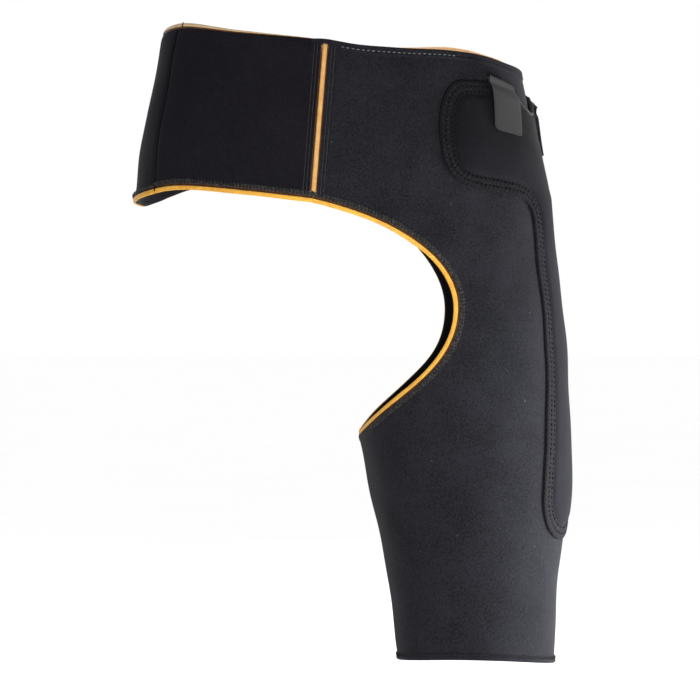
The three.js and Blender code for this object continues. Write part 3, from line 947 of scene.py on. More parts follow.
class Wardrobe:
    """All finishes of the brace, made once."""

    def __init__(self) -> None:
        """Builds every material."""
        self.laminate = KnitCloth(
            "laminate_knit", "#0a090c", "#131216", gloss=0.02, bloom=0.02, patch=45
        ).material()
        self.jersey = KnitCloth(
            "jersey_knit", "#0d0d0f", "#1a1a1e", gloss=0.025, bloom=0.025, lint=16, blend=0.23
        ).material()
        # pocket cloth with painted light, lighter towards its tail
        self.pocket = KnitCloth(
            "pocket_knit", "#09090a", "#111114", gloss=0.015, bloom=0.02, painted_light_foot=0.67
        ).material()
        self.lining = KnitCloth("lining_knit", "#0c0c0e", "#151518").material()
        self.seam_foam = CutFoam("seam_foam", "#956735", "#a6814c").material()
        # painted reflection: the seam's foam tinted yellow, as by bounced light
        self.foam_painted_yellow_bounce = CutFoam("foam_painted_yellow_bounce", "#95651b", "#a67d2a").material()
        # painted light: the seam's foam made greyer and paler, as by sky light
        self.foam_painted_sky_tint = CutFoam("foam_painted_sky_tint", "#90704d", "#a18c6d").material()
        # painted highlight: the seam's foam made much lighter on the hip's upper edge
        self.foam_painted_highlight = CutFoam("foam_painted_highlight", "#dca26b", "#f4c894").material()
        # painted shade: dark brown foam for bare foam cores and the valleys beside the cloth's edges
        self.foam_in_painted_shade = CutFoam("foam_in_painted_shade", "#241203", "#432507").material()
        self.binding = WovenTape(
            "mouth_binding", "#141416", "#1d1d20", gloss=0.05, bloom=0.02, rib=2.2
        ).material()
        self.strap = WovenTape(
            "smooth_strap", "#19191a", "#242424", gloss=0.15, bloom=0.02, rib=0.9, relief=0.03
        ).material()
        # the straps' sealed edges: partly their own dark colour, partly painted shade along the tabs
        self.sealed_edge_painted_shade = WovenTape("sealed_edge_painted_shade", "#040404", "#0a0a0b", gloss=0.1, bloom=0.0).material()
        self.thread = SpunThread("overlock_thread", "#111111", "#292827", gloss=0.05, twist=2.0).material()
        self.dark_thread = SpunThread("charcoal_thread", "#18181a", "#3b3b3c").material()
        # black thread, used also as painted shade in the pocket's needle holes and under the top hem
        self.black_thread_and_painted_shade = SpunThread("black_thread_and_painted_shade", "#060607", "#0c0c0d", gloss=0.0).material()
        # painted highlight: pale copy of the top hem's thread where light catches it
        self.thread_painted_highlight = SpunThread("thread_painted_highlight", "#3c3f42", "#7b7f82").material()
        # border thread with painted light, lighter towards the pocket's tail
        self.border_thread = SpunThread(
            "border_thread", "#0d0d0e", "#181818", gloss=0.02, painted_light_foot=0.45
        ).material()


@dataclass(frozen=True)
class Stitch:
    """Shape and spacing of one kind of stitch, in millimetres and degrees."""

    pitch: float
    length: float
    width: float
    height: float
    slant: float = 0.0
    lift: float = 0.1
    unevenness: float = 0.08
    seed: int = 1


@dataclass(frozen=True)
class SewingLine:
    """Line that stitches follow, with the ways out of the cloth. hand turns their slant round."""

    points: Array
    out: Array
    hand: float = 1.0
    closed: bool = False


def settle(piece: Piece, slot: str, *nodes: str) -> Piece:
    """Puts a piece on the brace's body.

    Args:
        piece: the finished piece.
        slot: name of a material slot; not used.
        nodes: the frame's nodes that it stands for.

    Returns:
        The piece.
    """
    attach(piece, BODY)
    if nodes:
        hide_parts(*nodes)
    LOG.info("%s: %d faces", piece.name, len(piece.data.polygons))
    return piece


class Stitching:
    """Geometry Nodes tree that lays thread stitches along lines."""

    SOCKETS = {
        "Pitch": "Float", "Size": "Vector", "Slant": "Float", "Lift": "Float",
        "Unevenness": "Float", "Seed": "Int", "Thread": "Material",
    }

    def __init__(self) -> None:
        """Builds the tree."""
        self.tree = bpy.data.node_groups.new("stitch_row", "GeometryNodeTree")
        self.tree.is_modifier = True
        interface = self.tree.interface
        interface.new_socket("Geometry", in_out="INPUT", socket_type="NodeSocketGeometry")
        self.sockets = {
            name: interface.new_socket(name, in_out="INPUT", socket_type=f"NodeSocket{kind}").identifier
            for name, kind in self.SOCKETS.items()
        }
        interface.new_socket("Geometry", in_out="OUTPUT", socket_type="NodeSocketGeometry")
        tree = self.tree
        given = add_node(tree, "NodeGroupInput").node.outputs
        curve = add_node(tree, "GeometryNodeMeshToCurve", {"Mesh": given["Geometry"]})
        along = {"Curve": curve, "Length": given["Pitch"]}
        steps = add_node(tree, "GeometryNodeResampleCurve", along, mode="LENGTH")
        stored = "GeometryNodeInputNamedAttribute"
        out = add_node(tree, stored, {"Name": "out"}, data_type="FLOAT_VECTOR")
        hand = add_node(tree, stored, {"Name": "hand"}, data_type="FLOAT")
        axes = {"Primary Axis": out, "Secondary Axis": add_node(tree, "GeometryNodeInputTangent")}
        facing = add_node(tree, "FunctionNodeAxesToRotation", axes, primary_axis="Z", secondary_axis="X")
        least = add_node(tree, "ShaderNodeMath", {0: given["Unevenness"], 1: -1.0}, operation="MULTIPLY")
        limits = {2: least, 3: given["Unevenness"], "Seed": given["Seed"]}
        waver = add_node(tree, "FunctionNodeRandomValue", limits, 1, data_type="FLOAT")
        slant = add_node(tree, "ShaderNodeMath", {0: given["Slant"], 1: hand}, operation="MULTIPLY")
        turned = add_node(tree, "ShaderNodeMath", {0: slant, 1: waver}, operation="ADD")
        spin = {"Axis": (0.0, 0.0, 1.0), "Angle": turned}
        turning = {"Rotation": facing, "Rotate By": add_node(tree, "FunctionNodeAxisAngleToRotation", spin)}
        rotation = add_node(tree, "FunctionNodeRotateRotation", turning, rotation_space="LOCAL")
        rise = add_node(tree, "ShaderNodeVectorMath", {0: out, "Scale": given["Lift"]}, operation="SCALE")
        lifted = add_node(tree, "GeometryNodeSetPosition", {"Geometry": steps, "Offset": rise})
        bead = add_node(tree, "GeometryNodeMeshUVSphere", {"Segments": 6, "Rings": 5, "Radius": 0.5})
        sized = add_node(tree, "GeometryNodeTransform", {"Geometry": bead, "Scale": given["Size"]})
        beads = {"Points": lifted, "Instance": sized, "Rotation": rotation}
        beads["Scale"] = add_node(tree, "ShaderNodeMath", {0: 1.0, 1: waver}, operation="ADD")
        row = add_node(tree, "GeometryNodeInstanceOnPoints", beads)
        solid = add_node(tree, "GeometryNodeRealizeInstances", {"Geometry": row})
        smooth = add_node(tree, "GeometryNodeSetShadeSmooth", {"Geometry": solid})
        dressed = {"Geometry": smooth, "Material": given["Thread"]}
        add_node(tree, "NodeGroupOutput", {0: add_node(tree, "GeometryNodeSetMaterial", dressed)})

    def sew(
        self, name: str, lines: Sequence[SewingLine], stitch: Stitch, thread: Material
    ) -> Piece:
        """Lays stitches along lines.

        Args:
            name: the piece's name.
            lines: the lines, in millimetres.
            stitch: the stitch.
            thread: the thread's material.

        Returns:
            One plain mesh with all stitches, on the brace's body.
        """
        points, edges, out, hand = [], [], [], []
        for line in lines:
            start = len(points)
            count = len(line.points)
            points.extend((line.points * MILLIMETRE).tolist())
            out.append(line.out)
            hand.append(np.full(count, line.hand))
            edges.extend([start + k, start + k + 1] for k in range(count - 1))
            if line.closed:
                edges.append([start + count - 1, start])
        mesh = bpy.data.meshes.new(name)
        mesh.from_pydata(points, edges, [])
        store(mesh, "out", np.concatenate(out))
        store(mesh, "hand", np.concatenate(hand))
        piece = add_object(name, mesh)
        rows = piece.modifiers.new("rows", "NODES")
        rows.node_group = self.tree
        size = (stitch.length, stitch.width, stitch.height)
        values = {
            "Pitch": stitch.pitch * MILLIMETRE,
            "Size": [side * MILLIMETRE for side in size],
            "Slant": stitch.slant * DEGREE,
            "Lift": stitch.lift * MILLIMETRE,
            "Unevenness": stitch.unevenness,
            "Seed": stitch.seed,
            "Thread": thread,
        }
        for socket, value in values.items():
            rows[self.sockets[socket]] = value
        sewn = piece.evaluated_get(bpy.context.evaluated_depsgraph_get())
        plain = bpy.data.meshes.new_from_object(sewn)
        piece.modifiers.remove(rows)
        piece.data = plain
        return settle(piece, "tape")


def edge_line(
    form: BraceForm, path: Places, inset: float, height: float, hand: float = 1.0, closed: bool = False
) -> SewingLine:
    """Line for stitches that runs along an edge.

    Args:
        form: the worn form.
        path: the edge, with the padding on its right.
        inset: how far the line lies in from the edge.
        height: how high it lies over the cloth.
        hand: which way the stitches slant.
        closed: whether the edge is a loop.

    Returns:
        The line.
    """
    points, out, away = form.frames(path, closed)
    return SewingLine(points - away * inset + out * height, out, hand, closed)


def border_shares(
    length: float, spacing: float, start: Sequence[float], end: Sequence[float], stride: int
) -> Array:
    """Shares across a row, close together near both ends.

    Args:
        length: length of the row.
        spacing: usual distance between columns.
        start: distances of the close columns from the row's start.
        end: distances of the close columns from its end.
        stride: the number of steps is made a multiple of this.

    Returns:
        Rising shares from nought to one.
    """
    inner_start, inner_end = max(start), max(end)
    left = np.array(sorted(start)) / length
    right = 1 - np.array(sorted(end, reverse=True)) / length
    steps = round((length - inner_start - inner_end) / spacing)
    steps += -(len(left) + len(right) - 2 + steps) % stride
    middle = np.linspace(left[-1], right[0], steps + 1)
    return np.concatenate([left, middle[1:-1], right])


def even_shares(length: float, spacing: float, stride: int) -> Array:
    """Even shares from nought to one, in a number of steps that the stride divides."""
    steps = round(length / spacing)
    return np.linspace(0, 1, steps + -steps % stride + 1)


SEWN_EDGE = (0, 0.25, 0.6, 1.0, 1.5, 2.2, 3.0, 4.0, 5.2, 7.0)
TOPSTITCHED_EDGE = (0, 0.25, 0.6, 1.0, 1.5, 2.0, 2.5, 2.9, 3.3, 3.7, 4.2, 4.8, 5.3, 5.7, 6.1, 6.6, 7.4, 8.6)


@dataclass(frozen=True)
class RolledEdge:
    """How a panel's face rolls over towards one of its edges."""

    radius: float
    drop: float

    def height(self, edge: Array, points: Array) -> Array:
        """Height of points that lie near the edge."""
        return rounded_edge(DenseLine(edge).distance(points), self.radius, self.drop)


BUTT_EDGE = RolledEdge(1.7, 1.0)
SIDE_EDGE = RolledEdge(5.0, 2.2)
SHADED_SIDE_EDGE = RolledEdge(4.0, 3.2)
UPPER_EDGE = RolledEdge(6.5, 1.3)


@dataclass
class Assembly:
    """What every sub-assembly is made with."""

    form: BraceForm
    wardrobe: Wardrobe
    stitching: Stitching


@dataclass
class PaddedPanels(Assembly):
    """The three laminate panels: the front and back of the belt, and the hip panel with its sleeve."""

    hip_length: float = 445  # usual way round the hip panel, from seam to seam
    opening_steps: int = 108
    seam_margin: float = 14  # the front seam's furrows start this far below the belt
    seam_row_depth: float = 0.45
    seam_row_width: float = 0.7
    pocket_trench: float = 0.35
    trench_width: float = 1.3
    spacing: float = 1.7
    stride: int = 3
    raw_columns: int = 2  # columns along a bare edge where the laminate's foam core shows, painted dark brown as shade

    def shell(
        self, name: str, places: Places, relief: Array, cloth_face: Material, raw: Array
    ) -> Piece:
        """Padding over a grid of places, with a relief on its outer face and raw foam at some borders.

        Args:
            name: the piece's name.
            places: the grid.
            relief: height of each place's outer point.
            cloth_face: finish of the outer face.
            raw: for each face, whether its foam core shows.

        Returns:
            The piece.
        """
        form = self.form
        outer = form.raised(places.turn, places.level, relief)
        inner = form.raised(places.turn, places.level, -form.padding)
        steps = np.linalg.norm(np.diff(form.point(places.turn, places.level), axis=1), axis=-1)
        across = np.concatenate([np.zeros((len(steps), 1)), np.cumsum(steps, 1)], 1)
        across = across - across[:, -1:] / 2
        cloth = np.stack([across, places.level], -1)
        # the raw border takes foam in painted shade
        materials = (cloth_face, self.wardrobe.lining, self.wardrobe.lining, self.wardrobe.foam_in_painted_shade)
        return shell_piece(name, outer, inner, cloth, self.stride, materials, raw)

    def seam_furrows(self, seam: Array, points: Array) -> Array:
        """Height of points where topstitching presses the cloth down beside the front seam.

        Args:
            seam: the panel's edge at the seam.
            points: the points.

        Returns:
            Their heights.
        """
        near = DenseLine(seam).distance(points)
        depth, width = self.seam_row_depth, self.seam_row_width
        return sum(furrow(near - row, depth, width) for row in self.form.seam_rows)

    def hip_places(self) -> Places:
        """Places of the hip panel and thigh sleeve, from the hem up and from the front edge to the back.

        Returns:
            The grid of places.
        """
        form = self.form
        front_shift = form.strip_width / 2 + form.gap
        back_shift = form.gap / 2
        across = border_shares(self.hip_length, self.spacing, TOPSTITCHED_EDGE, SEWN_EDGE, self.stride)
        count = self.opening_steps + 1
        front = form.even(form.opening(-1, front_shift), count)
        back = form.even(form.opening(1, back_shift), count)
        seam_turn = form.gap / form.thigh.width
        front.turn[0] = -math.pi + seam_turn
        back.turn[0] = math.pi - seam_turn
        foot_level = form.groin_level(1)
        sleeve = even_shares(form.sleeve_length, self.spacing, self.stride)[:-1, None]
        turns = between(front.turn[0], back.turn[0], across)[None]
        sleeve_level = between(form.hem_level(turns), foot_level, sleeve)
        rows = [Places(np.repeat(turns, len(sleeve), 0), sleeve_level)]
        side_level = np.linspace(foot_level, form.lower_rim(form.side_seam_turn), count)[:, None]
        front_level, back_level = front.level[:, None], back.level[:, None]
        rise = side_level - (front_level + back_level) / 2
        level = between(front_level, back_level, across) + rise * np.sin(math.pi * across)
        rows.append(Places(between(front.turn[:, None], back.turn[:, None], across), level))
        belt = even_shares(form.belt_height, self.spacing, self.stride)[1:, None]
        front_seam = form.seam(belt, front_shift, -1)
        back_seam = form.seam(belt, back_shift, 1)
        turns = between(front_seam.turn, back_seam.turn, across)
        rows.append(Places(turns, between(level[-1:], form.upper_rim(turns), belt)))
        return Places(np.concatenate([r.turn for r in rows]), np.concatenate([r.level for r in rows]))

    def hip_panel(self, pocket_border: Array) -> Piece:
        """The hip panel and thigh sleeve, in one piece.

        Args:
            pocket_border: the pocket's outline on the brace.

        Returns:
            The piece.
        """
        places = self.hip_places()
        points = self.form.raised(places.turn, places.level, 0)
        relief = BUTT_EDGE.height(np.concatenate([points[:, 0], points[::-1, -1]]), points)
        relief = np.minimum(relief, UPPER_EDGE.height(points[-1], points))
        belt_front = places.level[:, 0] > self.form.belt_level(0) - self.seam_margin
        relief += self.seam_furrows(points[belt_front, 0], points)
        pressed = DenseLine(pocket_border).distance(points)
        relief += furrow(pressed, self.pocket_trench, self.trench_width)
        raw = np.zeros((len(points) - 1, points.shape[1] - 1), bool)
        foot = self.form.groin_level(1)
        raw[:, : self.raw_columns] = places.level[:-1, :1] > foot
        bare_behind = (places.level[:-1, -1:] > foot) & (places.level[1:, -1:] < self.form.belt_level(0))
        raw[:, -self.raw_columns :] = bare_behind
        piece = self.shell("hip_thigh_cloth", places, relief, self.wardrobe.jersey, raw)
        return settle(piece, "jersey", "hip_thigh_panel")

    def belt_panel(
        self, name: str, node: str, start: Callable[[Array], Array], end: Callable[[Array], Array],
        length: float, ends: tuple[Sequence[float], Sequence[float]],
        rolls: tuple[RolledEdge, RolledEdge], flat: tuple[float, float], seam_rows: bool,
    ) -> Piece:
        """Stretch of the belt.

        Args:
            name: the piece's name.
            node: the node that it stands for.
            start: turn of its first edge at shares of the belt's height.
            end: turn of its last edge.
            length: its usual length.
            ends: distances of the close columns from both edges.
            rolls: how both edges roll over.
            flat: the size that it was cut to, in metres; not used.
            seam_rows: whether topstitching runs beside its last edge.

        Returns:
            The piece.
        """
        form = self.form
        up = border_shares(form.belt_height, self.spacing, SEWN_EDGE, SEWN_EDGE, self.stride)[:, None]
        across = border_shares(length, self.spacing, *ends, self.stride)[None]
        turn = between(start(up), end(up), across)
        places = Places(turn, between(form.lower_rim(turn), form.upper_rim(turn), up))
        points = form.raised(places.turn, places.level, 0)
        relief = np.minimum(BUTT_EDGE.height(points[0], points), UPPER_EDGE.height(points[-1], points))
        for column, rolled in ((0, rolls[0]), (-1, rolls[1])):
            relief = np.minimum(relief, rolled.height(points[:, column], points))
        if seam_rows:
            relief += self.seam_furrows(points[:, -1], points)
        raw = np.zeros((len(points) - 1, points.shape[1] - 1), bool)
        raw[: self.raw_columns] = True
        if seam_rows:
            raw[:, -self.raw_columns :] = True
        piece = self.shell(name, places, relief, self.wardrobe.laminate, raw)
        return settle(piece, "laminate", node)

    def build(self, pocket_border: Array) -> None:
        """Makes all panels.

        Args:
            pocket_border: the pocket's outline on the brace.
        """
        form = self.form
        seam_gap = form.gap / form.hip.width
        strip_shift = -form.strip_width / 2 - form.gap
        self.hip_panel(pocket_border)
        self.belt_panel(
            "belt_front_cloth", "belt_front_panel",
            start=lambda up: np.full(up.shape, form.side_seam_turn + seam_gap),
            end=lambda up: form.seam(up, strip_shift, -1).turn + 2 * math.pi,
            length=150, ends=(SEWN_EDGE, TOPSTITCHED_EDGE), rolls=(SIDE_EDGE, BUTT_EDGE),
            flat=(0.155, 0.128), seam_rows=True,
        )
        self.belt_panel(
            "belt_back_cloth", "belt_back_panel",
            start=lambda up: form.seam(up, -form.gap / 2, 1).turn,
            end=lambda up: np.full(up.shape, form.side_seam_turn - seam_gap),
            length=235, ends=(SEWN_EDGE, SEWN_EDGE), rolls=(BUTT_EDGE, SHADED_SIDE_EDGE),
            flat=(0.245, 0.128), seam_rows=False,
        )


@dataclass
class FoamEdges(Assembly):
    """Bare cut edges of the foam core, which stand out round the belt and the leg opening."""

    height: float = 4.6
    inset: float = 0.6
    root: float = -0.3  # its root is tucked in behind the cloth's edge, so that no light comes through
    valley: float = 1.1  # how far the foam sinks beside the cloth's edge
    nose: float = 3.2
    bulge: float = 0.25
    lined: int = 7  # faces on the inner side that the lining covers
    pressed: int = 4  # faces beside the cloth's edge, down in the foam's valley, painted dark brown as shade
    wobble: float = 0.03  # unevenness of the hand-cut edge, as a share of its height
    spacing: float = 1.6
    run_out: float = 0.12  # share of its height that the belt's upper edge has left at the front seam
    swell: float = 0.4  # how much higher than usual the hip's upper edge stands
    swell_at: float = 0.26  # share of the way along it
    swell_width: float = 0.2

    def section(self) -> Array:
        """Section of the edge as (away from the padding, outwards), from its inner side round the nose.

        Returns:
            The section's points.
        """
        form = self.form
        middle = -form.padding / 2
        half = form.padding / 2 - self.inset
        flat_end = form.gap + self.height - self.nose
        flats = np.array([self.root, between(form.gap, flat_end, 0.35), between(form.gap, flat_end, 0.7)])
        inner = np.full(3, middle - half)
        outer = middle + half - self.valley * np.array([1, 0.8, 0.25])
        angles = np.linspace(-90, 90, 13) * DEGREE
        rise = middle + half * np.sin(angles) + self.bulge * np.cos(angles)
        nose = np.stack([flat_end + self.nose * np.cos(angles), rise], -1)
        return np.concatenate([np.stack([flats, inner], -1), nose, np.stack([flats, outer], -1)[::-1]])

    def edge(
        self, place: str, path: Places, foam: Material, scale: Callable[[Array], Array] | None = None
    ) -> Piece:
        """Makes one bare edge.

        Args:
            place: which edge it is. Its piece's and its node's name start with that.
            path: the edge, with the padding on its right.
            foam: its finish, one foam with painted light. Only edges with painted yellow bounce hang down
                and have their inner side lined.
            scale: share of its height that is left at shares of the way along.

        Returns:
            The piece.
        """
        steps = self.form.stepped(path, self.spacing)
        share = np.linspace(0, 1, len(steps.turn))
        gone = share * len(share) * self.spacing
        reach = 1 + self.wobble * (np.sin(gone / 9) + np.sin(gone / 23 + 1.3))
        if scale is not None:
            reach = reach * scale(share)
        sections = np.repeat(self.section()[None], len(share), 0)
        sections[..., 0] = self.form.gap + (sections[..., 0] - self.form.gap) * reach[:, None]
        wardrobe = self.wardrobe
        # the faces beside the cloth's edge take foam in painted shade
        materials = [foam, wardrobe.lining, wardrobe.foam_in_painted_shade]
        lined = self.lined if foam == wardrobe.foam_painted_yellow_bounce else 1
        bare = sections.shape[1] - lined - self.pressed
        dressed = [1] * lined + [0] * bare + [2] * self.pressed
        rings = edge_rings(self.form, steps, sections)
        piece = bar_piece(f"{place}_foam", rings, False, materials, dressed)
        return settle(piece, "foam", f"{place}_edge")

    def opening_path(self) -> Places:
        """The leg opening's edge, from the back seam round the inner thigh to the front seam.

        Returns:
            The edge.
        """
        behind = self.form.opening(1, self.form.gap / 2)
        front = self.form.opening(-1, 0)
        turn = np.concatenate([behind.turn[::-1], front.turn[1:] + 2 * math.pi])
        return Places(turn, np.concatenate([behind.level[::-1], front.level[1:]]))

    def rim_path(self, rim: Callable[[Array], Array], start: float, end: float) -> Places:
        """Places along the belt's upper or lower edge."""
        turn = np.linspace(start, end, 120)
        return Places(turn, rim(turn))

    def build(self) -> None:
        """Makes all bare edges."""
        form = self.form
        joint = form.gap / form.hip.width
        front_foot = form.seam_turn(0, 0, -1) + 2 * math.pi
        front_top = form.seam_turn(1, -form.tape_start - form.gap, -1) + 2 * math.pi
        back_foot, back_top = (form.seam_turn(share, -form.gap / 2, 1) for share in (0, 1))
        side, lower, upper = form.side_seam_turn, form.lower_rim, form.upper_rim
        # the edges take copies of one foam, each with painted light
        yellow_bounce_foam, sky_tint_foam = self.wardrobe.foam_painted_yellow_bounce, self.wardrobe.foam_painted_sky_tint
        self.edge("leg_opening", self.opening_path(), yellow_bounce_foam)
        for place, rim, start, end, foam, scale in (
            ("belt_front_lower", lower, front_foot - joint, side + joint, yellow_bounce_foam, None),
            ("belt_back_lower", lower, side - joint, back_foot + joint, yellow_bounce_foam, None),
            ("belt_front_upper", upper, side + joint, front_top, sky_tint_foam,
             lambda share: between(1, self.run_out, share)),
            ("belt_back_upper", upper, back_top, side - joint, sky_tint_foam, None),
            ("hip_upper", upper, form.tape_end_turn + 2 * joint, back_top - joint, self.wardrobe.foam_painted_highlight,
             lambda share: 1 + self.swell * np.exp(-(((share - self.swell_at) / self.swell_width) ** 2))),
        ):
            self.edge(place, self.rim_path(rim, start, end), foam, scale)


@dataclass
class FrontSeam(Assembly):
    """Orange foam strip let into the front seam, with two rows of topstitching on both sides."""

    sink: float = 0.35
    end_gap: float = 0.05
    crown: float = 2.2
    end_dip: float = 1.6  # how far the strip sinks at both its ends
    end_round: float = 3  # over which length
    columns: int = 19
    spacing: float = 1.8
    row_span: tuple[float, float] = (0.012, 0.985)  # shares of the way up where the rows start and end
    low_bar: float = 2.0
    sunk: float = -0.1
    topstitch: Stitch = Stitch(pitch=1.9, length=1.75, width=0.5, height=0.45, slant=6, lift=0.02, seed=3)
    bar_stitch: Stitch = Stitch(
        pitch=0.5, length=6.0, width=0.62, height=0.7, slant=90, lift=0, unevenness=0.05, seed=5
    )

    def strip(self) -> Piece:
        """The foam strip.

        Returns:
            The piece.
        """
        form = self.form
        end = self.end_gap / form.belt_height
        up = even_shares(form.belt_height, self.spacing, 3)[:, None]
        across = np.linspace(-1, 1, self.columns)
        shifts = across * form.strip_width / 2
        columns = [form.seam(between(end, 1 - end, up), float(shift), -1) for shift in shifts]
        turn = np.concatenate([column.turn for column in columns], 1)
        level = np.concatenate([column.level for column in columns], 1)
        dip = self.end_dip * (1 - eased(np.minimum(up, 1 - up) * form.belt_height, 0, self.end_round))
        height = -self.sink - self.crown * np.abs(across) ** 4 - dip
        outer = form.raised(turn, level, height)
        inner = form.raised(turn, level, -form.padding)
        cloth = np.stack(np.broadcast_arrays(shifts, level), -1)
        # the strip's sides take foam in painted shade
        materials = [self.wardrobe.seam_foam] * 3 + [self.wardrobe.foam_in_painted_shade]
        raw = np.zeros((len(level) - 1, self.columns - 1), bool)
        raw[:, 0] = raw[:, -1] = True
        piece = shell_piece("front_seam_foam", outer, inner, cloth, 3, materials, raw)
        return settle(piece, "foam", "front_seam_strip")

    def line(self, shares: Array, shift: float, hand: float = 1.0) -> SewingLine:
        """Line up the belt beside the seam.

        Args:
            shares: shares of the way up.
            shift: how far it lies beside the seam.
            hand: which way its stitches slant.

        Returns:
            The line.
        """
        places = self.form.seam(shares, shift, -1)
        points = self.form.raised(places.turn, places.level, self.sunk)
        return SewingLine(points, self.form.normal(places.turn, places.level), hand)

    def build(self) -> None:
        """Makes the strip, its topstitching and the bar across its foot."""
        self.strip()
        half = self.form.strip_width / 2 + self.form.gap
        shares = np.linspace(*self.row_span, 80)
        lines = [
            self.line(shares, side * (half + row), side)
            for side in (-1.0, 1.0)
            for row in self.form.seam_rows
        ]
        self.stitching.sew("front_seam_topstitch", lines, self.topstitch, self.wardrobe.dark_thread)
        bar = self.line(np.linspace(0.004, self.low_bar / self.form.belt_height, 8), 0)
        self.stitching.sew("front_seam_bartack", [bar], self.bar_stitch, self.wardrobe.thread)


@dataclass
class Overlock(Assembly):
    """Braided overlock seam that binds the cloth along the bare foam edges."""

    edges: FoamEdges
    band: float = 3.7
    start: float = 0.1
    rows: tuple[tuple[float, float], ...] = ((0.27, 1.0), (0.73, -1.0))  # share across the band, and hand
    plait: Stitch = Stitch(
        pitch=2.9, length=3.9, width=2.2, height=0.8, slant=32, lift=-0.1, unevenness=0.18, seed=7
    )
    tie: Stitch = Stitch(
        pitch=0.7, length=1.2, width=0.9, height=0.9, slant=8, lift=0, unevenness=0.1, seed=9
    )
    lower_tie: tuple[float, float] = (-0.4, 3.4)  # how far from the cloth's edge it starts and ends
    upper_tie: tuple[float, float] = (1.4, 4.9)
    upper_tie_turn: float = 3 * DEGREE  # from the side seam
    tie_rise: float = 0.15  # over the foam's face

    def build(self) -> None:
        """Makes the braid and the thread ends at the side seam."""
        form = self.form
        front_foot = form.seam_turn(0, 0, -1) + 2 * math.pi
        belt = self.edges.rim_path(form.lower_rim, front_foot, form.seam_turn(0, -form.gap / 2, 1))
        paths = [form.stepped(path, 2) for path in (self.edges.opening_path(), belt)]
        lines = [
            edge_line(form, path, self.start + self.band * share, 0, hand)
            for path in paths
            for share, hand in self.rows
        ]
        self.stitching.sew("edge_overlock_braid", lines, self.plait, self.wardrobe.thread)
        self.side_seam_ends(belt)

    def side_seam_ends(self, belt: Places) -> None:
        """Makes the thread ends that tie the bare foam together at the side seam, below and above.

        Args:
            belt: the belt's lower edge.
        """
        form = self.form
        face = -self.edges.inset + self.tie_rise
        above = form.side_seam_turn + self.upper_tie_turn
        turns = np.array([above - 0.01, above + 0.01])
        upper = Places(turns, form.upper_rim(turns))
        near = int(np.argmin(np.abs(belt.turn - form.side_seam_turn)))
        lower = Places(belt.turn[near : near + 2], belt.level[near : near + 2])
        ends = []
        for path, span in ((lower, self.lower_tie), (upper, self.upper_tie)):
            points, out, away = form.frames(path)
            steps = np.linspace(*span, 9)[:, None]
            ends.append(SewingLine(points[0] + away[0] * steps + out[0] * face, np.repeat(out[:1], 9, 0)))
        self.stitching.sew("side_seam_thread_ends", ends, self.tie, self.wardrobe.black_thread_and_painted_shade)


